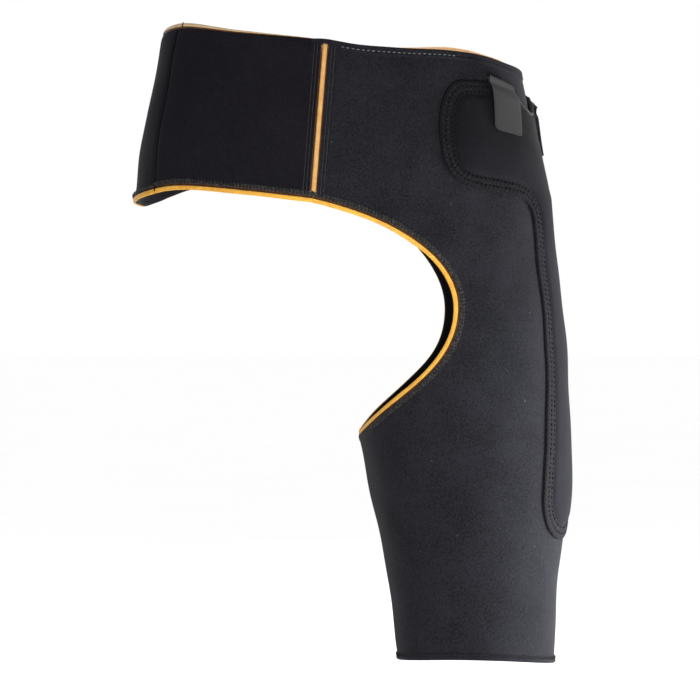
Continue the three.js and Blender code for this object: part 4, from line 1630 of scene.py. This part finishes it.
@dataclass
class FoldedTapes(Assembly):
    """Hem folded over the upper edge in front, and the one round the sleeve."""

    thickness: float = 0.9
    clearance: float = 0.5
    top_leg: float = 6
    strip_leg: float = 2.7  # the leg is this short where it passes over the front seam's strip
    hem_leg: float = 4.5
    corner: float = 1.3
    thin: float = 0.2  # share of its thickness that is left where a hem runs out
    run_in: float = 14  # length over which the upper hem reaches its full thickness
    run_out: float = 40  # and loses it again
    leg_start: float = 3  # from here past the front seam its leg lengthens
    leg_end: float = 16
    sewn_start: float = 14  # from here past the front seam it is sewn
    sewn_end: float = 30  # up to this far from its end
    highlight_end_x: float = 88  # the row's thread is painted as highlight from the front seam to here, and black as painted shade beyond
    spacing: float = 1.6
    run: Stitch = Stitch(pitch=4.0, length=2.7, width=0.62, height=0.5, slant=3, lift=0.02, seed=11)
    ticks: Stitch = Stitch(pitch=1.9, length=3.3, width=0.6, height=0.5, slant=86, lift=0.1, seed=12)

    def section(self, leg: float, swell: float) -> Array:
        """Section of a hem as (away from the padding, outwards), counterclockwise.

        Args:
            leg: how far it reaches down the cloth.
            swell: share of its usual thickness.

        Returns:
            The section's points.
        """
        clearance = self.clearance * min(1, swell * 2)
        outside = clearance + self.thickness * swell
        back_face = -self.form.padding - outside
        back_gap = -self.form.padding - clearance
        arc = np.linspace(0, 90, 6) * DEGREE
        corner = self.corner * min(1, swell + 0.2)
        bend = np.stack([corner * (1 - np.sin(arc)), corner * (1 - np.cos(arc))], -1)
        front_corner = np.stack([outside - bend[:, 0], outside - bend[:, 1]], -1)[::-1]
        back_corner = np.stack([outside - bend[:, 0], back_face + bend[:, 1]], -1)
        down = np.array([1, 0.9, 0.72, 0.6, 0.5, 0.4, 0.28, 0.12])
        rise = np.array([0.08, 0.42, 0.72, 0.68, 0.55, 0.7, 0.9, 1.0])
        front_leg = np.stack([-leg * down, outside * rise], -1)
        back_leg = np.stack([-leg * down, -self.form.padding - outside * rise], -1)
        inside = np.array([
            [-leg, 0.05], [clearance, clearance], [clearance, back_gap],
            [-leg, -self.form.padding - 0.05],
        ])
        return np.concatenate([inside, back_leg, back_corner, front_corner, front_leg[::-1]])

    def top_path(self) -> Places:
        """The upper edge that the hem covers, from before the front seam round the wearer's left.

        Returns:
            The edge.
        """
        start = self.form.seam_turn(1, -self.form.tape_start, -1)
        turn = np.linspace(start, self.form.tape_end_turn, 180)
        return self.form.stepped(Places(turn, self.form.upper_rim(turn)), self.spacing)

    def hem_path(self) -> Places:
        """The sleeve's hem, once round."""
        turn = np.linspace(math.pi, -math.pi, 260, endpoint=False)
        return Places(turn, self.form.hem_level(turn))

    def top_hem(self) -> None:
        """Makes the upper hem and its running stitches."""
        form = self.form
        top = self.top_path()
        gone = np.arange(len(top.turn)) * self.spacing
        left = gone[-1] - gone
        past = gone - form.tape_start
        legs = between(self.strip_leg, self.top_leg, eased(past, self.leg_start, self.leg_end))
        full = np.minimum(eased(gone, 0, self.run_in), eased(left, 0, self.run_out))
        swells = between(self.thin, 1, full)
        sections = np.stack([self.section(leg, swell) for leg, swell in zip(legs, swells)])
        rings = edge_rings(form, top, sections)
        settle(bar_piece("top_hem", rings, False, [self.wardrobe.jersey]), "tape", "top_hem_tape")
        row = edge_line(form, top, self.top_leg * 0.5, self.clearance + self.thickness * 0.25)
        sewn = past > self.sewn_start
        # one row of stitches, painted pale where lit and black where shaded
        lit_stretch = sewn & (row.points[:, 0] < self.highlight_end_x)
        dark = sewn & ~lit_stretch & (left > self.sewn_end)
        for name, part, thread in (
            ("top_hem_highlit_stitches", lit_stretch, self.wardrobe.thread_painted_highlight),
            ("top_hem_shaded_stitches", dark, self.wardrobe.black_thread_and_painted_shade),
        ):
            self.stitching.sew(name, [SewingLine(row.points[part], row.out[part])], self.run, thread)

    def sleeve_hem(self) -> None:
        """Makes the sleeve's hem and its overcast stitches."""
        form = self.form
        hem = self.hem_path()
        sections = np.repeat(self.section(self.hem_leg, 1)[None], len(hem.turn), 0)
        rings = edge_rings(form, hem, sections, closed=True)
        settle(bar_piece("sleeve_hem_tape", rings, True, [self.wardrobe.jersey]), "tape", "sleeve_hem")
        face = (self.clearance + self.thickness) * 0.7
        lines = [edge_line(form, hem, self.hem_leg * 0.6, face, closed=True)]
        self.stitching.sew("sleeve_hem_overcast", lines, self.ticks, self.wardrobe.border_thread)

    def build(self) -> None:
        """Makes both hems."""
        self.top_hem()
        self.sleeve_hem()


@dataclass
class HipPocket(Assembly):
    """Pocket sewn on the hip, with a long tail down the thigh and a coverstitched border."""

    forward: float = 31
    seat: float = 0.6
    thickness: float = 3
    width: float = 225.5
    top_level: float = 20.5
    widest_level: float = -38
    shoulder_level: float = -74
    shoulder_rise: float = 9
    corner: float = 32
    tail_width: float = 77
    neck_width: float = 67
    neck_length: float = 115
    fillet: float = 16
    foot_level: float = -350
    mouth_width: float = 116
    mouth_depth: float = 25
    binding_height: float = 3
    tab_middle: float = 46.3
    tab_width: float = 23.4
    spacing: float = 1.7
    fill_spacing: float = 2.6
    band: float = 11.6  # width of the stitched border
    crown: float = 0.7
    crown_start: float = -4  # the crown rises over these distances in from the border
    crown_end: float = 14
    rim_radius: float = 1.7
    rim_drop: float = 1.3
    pressed: float = 1.2  # how far the stitches press the border down
    groove_depth: float = 0.4  # groove along the border's inner side
    groove_width: float = 0.75
    groove_rise: float = 4
    foot_inset: float = 0.3  # where the face's rim meets its base
    foot_height: float = 0.12
    base_spacing: float = 7.0
    border_start: float = 2.3  # the rings of points across the border start here
    border_end: float = 2.4  # and end this far before its inner side
    groove_half: float = 1.6  # close rings lie this far to both sides of the groove
    last_rings: tuple[float, float] = (2.6, 4.2)  # and two more this far past the border
    binding_bulge: float = 0.5
    chain: Stitch = Stitch(
        pitch=3.9, length=3.2, width=1.7, height=0.42, slant=28, lift=0, unevenness=0.3, seed=21
    )
    chain_rows: tuple[tuple[float, float], ...] = ((2.8, 1.0), (7.1, -1.0))  # inset and hand
    looper: Stitch = Stitch(
        pitch=1.5, length=3.4, width=0.8, height=0.28, slant=50, lift=-0.1, unevenness=0.3, seed=22
    )
    looper_rows: tuple[tuple[float, float], ...] = ((4.0, -1.0), (6.2, 1.0), (8.6, -1.0))
    hole: Stitch = Stitch(
        pitch=3.9, length=2.2, width=1.7, height=0.6, slant=0, lift=0.1, unevenness=0.25, seed=23
    )
    hole_rows: tuple[float, float] = (5.0, 9.6)
    rim_row: tuple[float, float] = (0.7, 0.7)  # inset of the holes in the rim, and how much lower they lie

    def mouth_drop(self, reach: Array) -> Array:
        """How far the mouth's scoop lowers the upper edge."""
        share = np.minimum(1, np.abs(reach) / (self.mouth_width / 2))
        return self.mouth_depth * (0.5 + 0.5 * np.cos(math.pi * share))

    def half_outline(self) -> Array:
        """Half outline as (reach from the middle line, level), from the tail's foot to the mouth.

        Returns:
            The outline's points.
        """
        radius, neck, half = self.tail_width / 2, self.neck_width / 2, self.width / 2
        shoulder = self.shoulder_level
        outer = shoulder + self.shoulder_rise
        foot = np.linspace(-90, 0, 30)[:, None] * DEGREE
        tail = np.concatenate([radius * np.cos(foot), self.foot_level + radius * (1 + np.sin(foot))], 1)
        neck_bend = bezier([
            (neck, shoulder - self.fillet), (neck, shoulder),
            (neck + self.fillet, shoulder + self.shoulder_rise / 5),
        ], 24)
        outer_bend = bezier([
            (half - self.corner, outer - self.shoulder_rise / 3), (half, outer), (half, self.widest_level),
        ], 24)
        top_bend = bezier([
            (half, self.widest_level), (half, (self.widest_level + self.top_level) / 2),
            (half - self.corner / 2, self.top_level - 0.5), (half - self.corner, self.top_level),
        ], 24)
        reach = np.linspace(half - self.corner, 0, 60)[1:]
        mouth = np.stack([reach, self.top_level - self.mouth_drop(reach)], -1)
        straight = np.array([[radius, shoulder - self.neck_length]])
        return np.concatenate([tail, straight, neck_bend, outer_bend, top_bend[1:], mouth])

    @cached_property
    def outline(self) -> Array:
        """Whole outline, evenly stepped and counterclockwise seen with the level up and the reach right."""
        half = self.half_outline()
        mirrored = half[::-1] * np.array([-1, 1])
        loop = np.concatenate([half, mirrored[1:-1]])
        closed = np.concatenate([loop, loop[:1]])
        gone = arc_lengths(closed)
        goals = np.linspace(0, gone[-1], round(gone[-1] / self.spacing) + 1)[:-1]
        even = np.stack([np.interp(goals, gone, closed[:, axis]) for axis in (0, 1)], -1)
        for _ in range(3):
            even = (np.roll(even, 1, 0) + 2 * even + np.roll(even, -1, 0)) / 4
        return even

    @cached_property
    def inward(self) -> Array:
        """Ways in from the outline, square to it."""
        along = np.roll(self.outline, -1, 0) - np.roll(self.outline, 1, 0)
        return unit(np.stack([-along[:, 1], along[:, 0]], -1))

    @cached_property
    def in_mouth(self) -> Array:
        """For each point of the outline, how much it belongs to the open mouth."""
        reach, level = self.outline.T
        middle = 1 - eased(np.abs(reach), self.tab_middle - 6, self.tab_middle + 4)
        return middle * (level > self.widest_level)

    def placed(self, flat: Array, height: Any) -> Array:
        """Points of the pocket from (reach, level) and a height over the padding."""
        turn = self.form.turn_at_reach(flat[..., 0] - self.forward, flat[..., 1])
        return self.form.raised(turn, flat[..., 1], height)

    def border(self) -> Array:
        """The pocket's outline on the brace, closed."""
        loop = np.concatenate([self.outline, self.outline[:1]])
        return self.placed(loop, 0)

    def profile(self, inset: float, mouth: Array) -> Array:
        """Height of the outer face at a distance in from the outline.

        Args:
            inset: the distance.
            mouth: how much each point belongs to the open mouth, where no border is sewn.

        Returns:
            The height of each point over the padding.
        """
        top = self.seat + self.thickness
        rim = rounded_edge(inset, self.rim_radius, self.rim_drop)
        sewn = top - self.pressed + furrow(inset - self.band, self.groove_depth, self.groove_width)
        sewn += (self.pressed + 0.1) * eased(inset, self.band, self.band + self.groove_rise)
        return rim + between(sewn, top + self.crown / 2, mouth)

    def panel(self) -> Piece:
        """The pocket's padded face.

        Returns:
            The piece.
        """
        outline, inward, mouth = self.outline, self.inward, self.in_mouth
        count = len(outline)
        rim = self.rim_radius * (1 - np.cos(np.linspace(0, 90, 7) * DEGREE))
        groove = self.band + np.linspace(-self.groove_half, self.groove_half, 9)
        border = np.linspace(self.border_start, self.band - self.border_end, 7)
        insets = np.concatenate([rim, border, groove, self.band + np.array(self.last_rings)])
        flat_rings = [outline + inward * inset for inset in insets]
        heights = [self.profile(inset, mouth) for inset in insets]
        foot = outline + inward * self.foot_inset
        inner_ring = flat_rings[-1]
        inside_points, triangles = self.fill(inner_ring, self.fill_spacing)
        base_points, base_triangles = self.fill(foot, self.base_spacing)
        top = self.seat + self.thickness
        ring_edge = DenseLine(np.column_stack([inner_ring, np.zeros(count)]), 1.0)
        depth_in = ring_edge.distance(np.column_stack([inside_points, np.zeros(len(inside_points))]))
        inside_height = top + self.crown * eased(depth_in, self.crown_start, self.crown_end)
        flat = np.concatenate([foot, *flat_rings, inside_points, base_points])
        foot_height = np.full(count, self.foot_height)
        base_height = np.full(len(base_points), self.foot_height)
        height = np.concatenate([foot_height, *heights, inside_height, base_height])
        rings = len(insets) + 1
        last_ring = (rings - 1) * count
        inside_start = rings * count
        base_start = inside_start + len(inside_points)

        def numbered(triangle: Sequence[int], ring_start: int, fill_start: int) -> list[int]:
            """Corners of a filling triangle in the whole piece's numbers."""
            return [ring_start + c if c < count else fill_start + c - count for c in triangle]

        outer = ring_faces(rings, count) + [numbered(t, last_ring, inside_start) for t in triangles]
        base = [numbered(t, 0, base_start)[::-1] for t in base_triangles]
        sides = [FaceSide.OUTER] * len(outer) + [FaceSide.INNER] * len(base)
        points = self.placed(flat, height)
        materials = (self.wardrobe.pocket, self.wardrobe.lining)
        piece = make_object("hip_pocket_cloth", points, outer + base, materials, sides, flat)
        return settle(piece, "laminate", "hip_pocket")

    def fill(self, ring: Array, spacing: float) -> tuple[Array, list[Sequence[int]]]:
        """Fills a ring with even triangles.

        Args:
            ring: corners of the ring, counterclockwise.
            spacing: distance between the points inside.

        Returns:
            The points inside, and triangles that number the ring's corners first and then those points.
        """
        low, high = ring.min(0), ring.max(0)
        columns = np.arange(low[0], high[0], spacing)
        rows = np.arange(low[1], high[1], spacing * 0.87)
        grid = np.array([(x + (n % 2) * spacing / 2, y) for n, y in enumerate(rows) for x in columns])
        after = np.roll(ring, -1, 0)
        crosses = (ring[None, :, 1] > grid[:, None, 1]) != (after[None, :, 1] > grid[:, None, 1])
        rise = np.where(after[:, 1] == ring[:, 1], 1, after[:, 1] - ring[:, 1])
        slope = (after[:, 0] - ring[:, 0]) / rise
        x_at = ring[None, :, 0] + slope * (grid[:, None, 1] - ring[None, :, 1])
        within = (crosses & (grid[:, None, 0] < x_at)).sum(1) % 2 == 1
        clear = np.linalg.norm(grid[:, None] - ring[None], axis=-1).min(1) > spacing * 0.6
        inside = grid[within & clear]
        points = np.concatenate([ring, inside])
        count = len(ring)
        loop = [(k, (k + 1) % count) for k in range(count)]
        found = geometry.delaunay_2d_cdt([Vector(p) for p in points], loop, [], 1, 1e-5)
        return inside, found[2]

    def sewing(self, inset: float, hand: float, height: float) -> SewingLine:
        """Line of stitches that follows the outline outside the mouth, at a distance in from it.

        Args:
            inset: the distance.
            hand: which way they slant.
            height: over the padding.

        Returns:
            The line.
        """
        sewn = self.in_mouth < 0.5
        start = int(np.argmax(~sewn))
        order = np.roll(np.arange(len(sewn)), -start)
        keep = order[sewn[order]]
        flat = (self.outline + self.inward * inset)[keep]
        points = self.placed(flat, height)
        turn = self.form.turn_at_reach(flat[:, 0] - self.forward, flat[:, 1])
        return SewingLine(points, self.form.normal(turn, flat[:, 1]), hand)

    def binding(self) -> Piece:
        """Rounded binding along the mouth between the tabs.

        Returns:
            The piece.
        """
        reach_end = self.tab_middle - self.tab_width / 2 - self.form.gap
        reach = np.linspace(-reach_end, reach_end, 60)
        angles = np.linspace(0, 360, 17)[:-1] * DEGREE
        half = (self.thickness + self.binding_bulge) / 2
        rise = self.binding_height / 2 * (1 - np.cos(angles) * np.abs(np.cos(angles)) ** -0.35)
        height = self.seat + half + half * np.sin(angles)
        level = self.top_level - self.mouth_drop(reach) + self.form.gap
        flat = np.stack(np.broadcast_arrays(reach[:, None], level[:, None] + rise[None]), -1)
        rings = self.placed(flat, height)
        piece = bar_piece("pocket_mouth_edge", rings, False, [self.wardrobe.binding])
        return settle(piece, "tape", "pocket_mouth_binding")

    def build(self) -> None:
        """Makes the pocket, its border stitches and its mouth binding."""
        self.panel()
        self.binding()
        top = self.seat + self.thickness - self.pressed
        for name, stitch, rows in (
            ("pocket_border_chains", self.chain, self.chain_rows),
            ("pocket_border_loopers", self.looper, self.looper_rows),
        ):
            lines = [self.sewing(inset, hand, top) for inset, hand in rows]
            self.stitching.sew(name, lines, stitch, self.wardrobe.border_thread)
        # needle holes: black thread beads, partly the looper thread and partly painted shade in the holes
        lines = [self.sewing(inset, 1.0, top) for inset in self.hole_rows]
        lines.append(self.sewing(self.rim_row[0], 1.0, top - self.rim_row[1]))
        self.stitching.sew("pocket_needle_holes", lines, self.hole, self.wardrobe.black_thread_and_painted_shade)


@dataclass
class PullTab:
    """Smooth strap sewn on the pocket beside its mouth, folded over at the top and hanging free."""

    name: str
    node: str
    pocket: HipPocket
    side: int
    lean: float
    twist: float
    lowered: float
    length: float = 44
    thickness: float = 1.4
    slant: float = 7.8
    top_level: float = 24.6
    stitched_leg: float = 9
    stand_off: float = 0.6
    settle_in: float = 1.2
    pinch: float = 1.1  # the free part dips this much just below the fold
    pinch_drop: float = 6.5
    pinch_width: float = 2.8
    swing: float = 1.2  # exponent of its swing away from the mouth
    bulge: float = 0.6  # clearance between the pocket's crown and the sewn leg
    lean_start: float = 10
    twist_length: float = 14
    foot_slant: float = 0.75  # its foot slants this share as much as its fold
    corner: float = 3.0
    edge_radius: float = 0.8
    edge_drop: float = 0.4
    hang_steps: int = 40

    def build(self) -> Piece:
        """Makes the tab.

        Returns:
            The piece.
        """
        width, wardrobe = self.pocket.tab_width, self.pocket.wardrobe
        seat = self.pocket.seat + self.pocket.thickness + self.bulge
        near = seat + self.thickness
        across = np.linspace(0, 1, 31) if self.side < 0 else np.linspace(1, 0, 31)
        edge_distance = np.minimum(across, 1 - across) * width
        cut = np.clip(self.corner - edge_distance, 0, self.corner)
        shorter = self.corner - np.sqrt(self.corner**2 - cut**2)
        fold = np.linspace(0, math.pi, 15)
        reach_of_fold = self.stand_off + self.thickness

        def line(inner: bool) -> tuple[Array, Array]:
            """Drop and height along one face of the strap.

            Args:
                inner: whether it is the inner face.

            Returns:
                The drop and the height at each step.
            """
            radius = self.stand_off if inner else reach_of_fold
            leg_height = near if inner else seat
            far = near + 2 * self.stand_off + (0 if inner else self.thickness)
            leg = np.linspace(self.stitched_leg, reach_of_fold, 6)[:-1]
            drop = np.concatenate([leg, reach_of_fold - radius * np.sin(fold)])
            bend = near + self.stand_off - radius * np.cos(fold)
            hang = np.linspace(0, 1, self.hang_steps + 1)[1:]
            hang_drop = between(reach_of_fold, self.length, hang)
            pinched = furrow(hang_drop - self.pinch_drop, self.pinch, self.pinch_width)
            height = [np.full(len(leg), leg_height), bend, far - self.settle_in * hang + pinched]
            return np.concatenate([drop, hang_drop]), np.concatenate(height)

        def face(inner: bool) -> Array:
            """Points of one face by step along the strap and place across it.

            Args:
                inner: whether it is the inner face.

            Returns:
                The points.
            """
            drop, height = line(inner)
            share = np.clip((drop - reach_of_fold) / (self.length - reach_of_fold), 0, 1)
            hanging = np.arange(len(drop)) >= len(drop) - self.hang_steps
            share = np.where(hanging, share, 0)
            all_drop = drop[:, None] - shorter[None] * share[:, None] ** 3
            below = np.where(hanging, drop, 0)
            swung = np.clip((below - self.lean_start) / (self.length - self.lean_start), 0, 1)
            middle = self.pocket.tab_middle + self.lean * swung[:, None] ** self.swing
            turned = self.twist * eased(below, 0, self.twist_length)[:, None] * across[None]
            reach = self.side * between(middle + width / 2, middle - width / 2, across[None])
            slant = self.slant * between(1, self.foot_slant, share)[:, None]
            level = self.top_level - self.lowered - slant * across[None] - all_drop
            rounding = rounded_edge(edge_distance, self.edge_radius, self.edge_drop)
            edge = rounding[None] * (-1 if inner else 1)
            outwards = np.where(hanging, 1, -1)[:, None]
            flat = np.stack(np.broadcast_arrays(reach, level), -1)
            return self.pocket.placed(flat, height[:, None] + turned + edge * outwards)

        outer, inner_face = face(False)[::-1], face(True)[::-1]
        drop, _ = line(False)
        gone = np.concatenate([[0], np.cumsum(np.abs(np.diff(drop)))])[::-1]
        cloth = np.stack(np.meshgrid(gone, across * width, indexing="ij"), -1)
        rows = (len(outer) - 1) // 3 * 3 + 1
        # the rims are near black, partly as a sealed edge and partly as painted shade
        materials = [wardrobe.strap, wardrobe.strap, wardrobe.sealed_edge_painted_shade]
        piece = shell_piece(self.name, outer[:rows], inner_face[:rows], cloth[:rows], 3, materials)
        return settle(piece, "webbing", self.node)


@dataclass(frozen=True)
class Lamp:
    """Square lamp: where it hangs and how wide it is, in metres, its power in watts and its colour."""

    name: str
    at: tuple[float, float, float]
    power: float
    side: float
    colour: str = "#ffffff"


@dataclass(frozen=True)
class Studio:
    """Pale floor, soft light and the camera."""

    camera_at: tuple[float, float, float] = (0.004, -2.4, -0.195)
    lens: float = 148.7
    floor_level: float = -525
    floor_half: float = 200000
    aim: tuple[float, float, float] = (0.06, 0.0, -0.25)
    lamps: tuple[Lamp, ...] = (
        Lamp("right_lamp", (0.55, -0.1, -0.43), 10.4, 0.15),
        Lamp("rim_lamp", (1.1, 0.35, -0.3), 15.5, 0.4),
        Lamp("front_lamp", (0.25, -1.15, -0.44), 18.5, 0.16),
        Lamp("back_lamp", (-1.2, 1.5, 0.1), 16, 0.5, "#f3f7ff"),
        Lamp("left_lamp", (-1.4, 0.1, 0.4), 3, 0.6, "#dfe9ff"),
    )

    def camera(self) -> None:
        """Puts the camera level, looking along +Y."""
        data = bpy.data.cameras.new("camera")
        data.lens = self.lens
        data.sensor_width = 36
        data.clip_end = 1000
        eye = add_object("camera", data)
        eye.location = self.camera_at
        eye.rotation_euler = (math.pi / 2, 0, 0)
        bpy.context.scene.camera = eye

    def floor(self) -> None:
        """Lays the floor."""
        sides = ((-1, -1), (1, -1), (1, 1), (-1, 1))
        corners = np.array([(x * self.floor_half, y * self.floor_half, self.floor_level) for x, y in sides])
        paint = StudioPaint("studio_paint", "#fcfcfc", "#ffffff").material()
        make_object("studio_floor", corners, [[0, 1, 2, 3]], [paint])

    def hang(self, lamp: Lamp) -> None:
        """Hangs a lamp that looks at the brace.

        Args:
            lamp: the lamp.
        """
        data = bpy.data.lights.new(lamp.name, "AREA")
        data.energy = lamp.power
        data.color = linear_colour(lamp.colour)[:3]
        data.size = lamp.side
        hung = add_object(lamp.name, data)
        hung.location = lamp.at
        aim = Vector(self.aim) - hung.location
        hung.rotation_euler = aim.to_track_quat("-Z", "Y").to_euler()

    def build(self) -> None:
        """Sets the whole studio up, in a room that is white all round."""
        bpy.context.scene.view_settings.view_transform = "Standard"
        world = bpy.data.worlds.new("white_room")
        world.use_nodes = True
        shade = world.node_tree.nodes["Background"]
        shade.inputs["Color"].default_value = (1, 1, 1, 1)
        shade.inputs["Strength"].default_value = 1.0
        bpy.context.scene.world = world
        self.camera()
        self.floor()
        for lamp in self.lamps:
            self.hang(lamp)


def main() -> None:
    """Builds the brace on its frame, part by part."""
    logging.basicConfig(level=logging.INFO, format="%(name)s %(message)s")
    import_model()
    Studio().build()
    kit = BraceForm(), Wardrobe(), Stitching()
    pocket = HipPocket(*kit)
    edges = FoamEdges(*kit)
    PaddedPanels(*kit).build(pocket.border())
    edges.build()
    Overlock(*kit, edges).build()
    FrontSeam(*kit).build()
    FoldedTapes(*kit).build()
    pocket.build()
    PullTab("front_pull_tab", "front_tab", pocket, side=-1, lean=6, twist=3.5, lowered=0).build()
    PullTab("rear_pull_tab", "rear_tab", pocket, side=1, lean=1, twist=0, lowered=10).build()


if __name__ == "__main__":
    main()
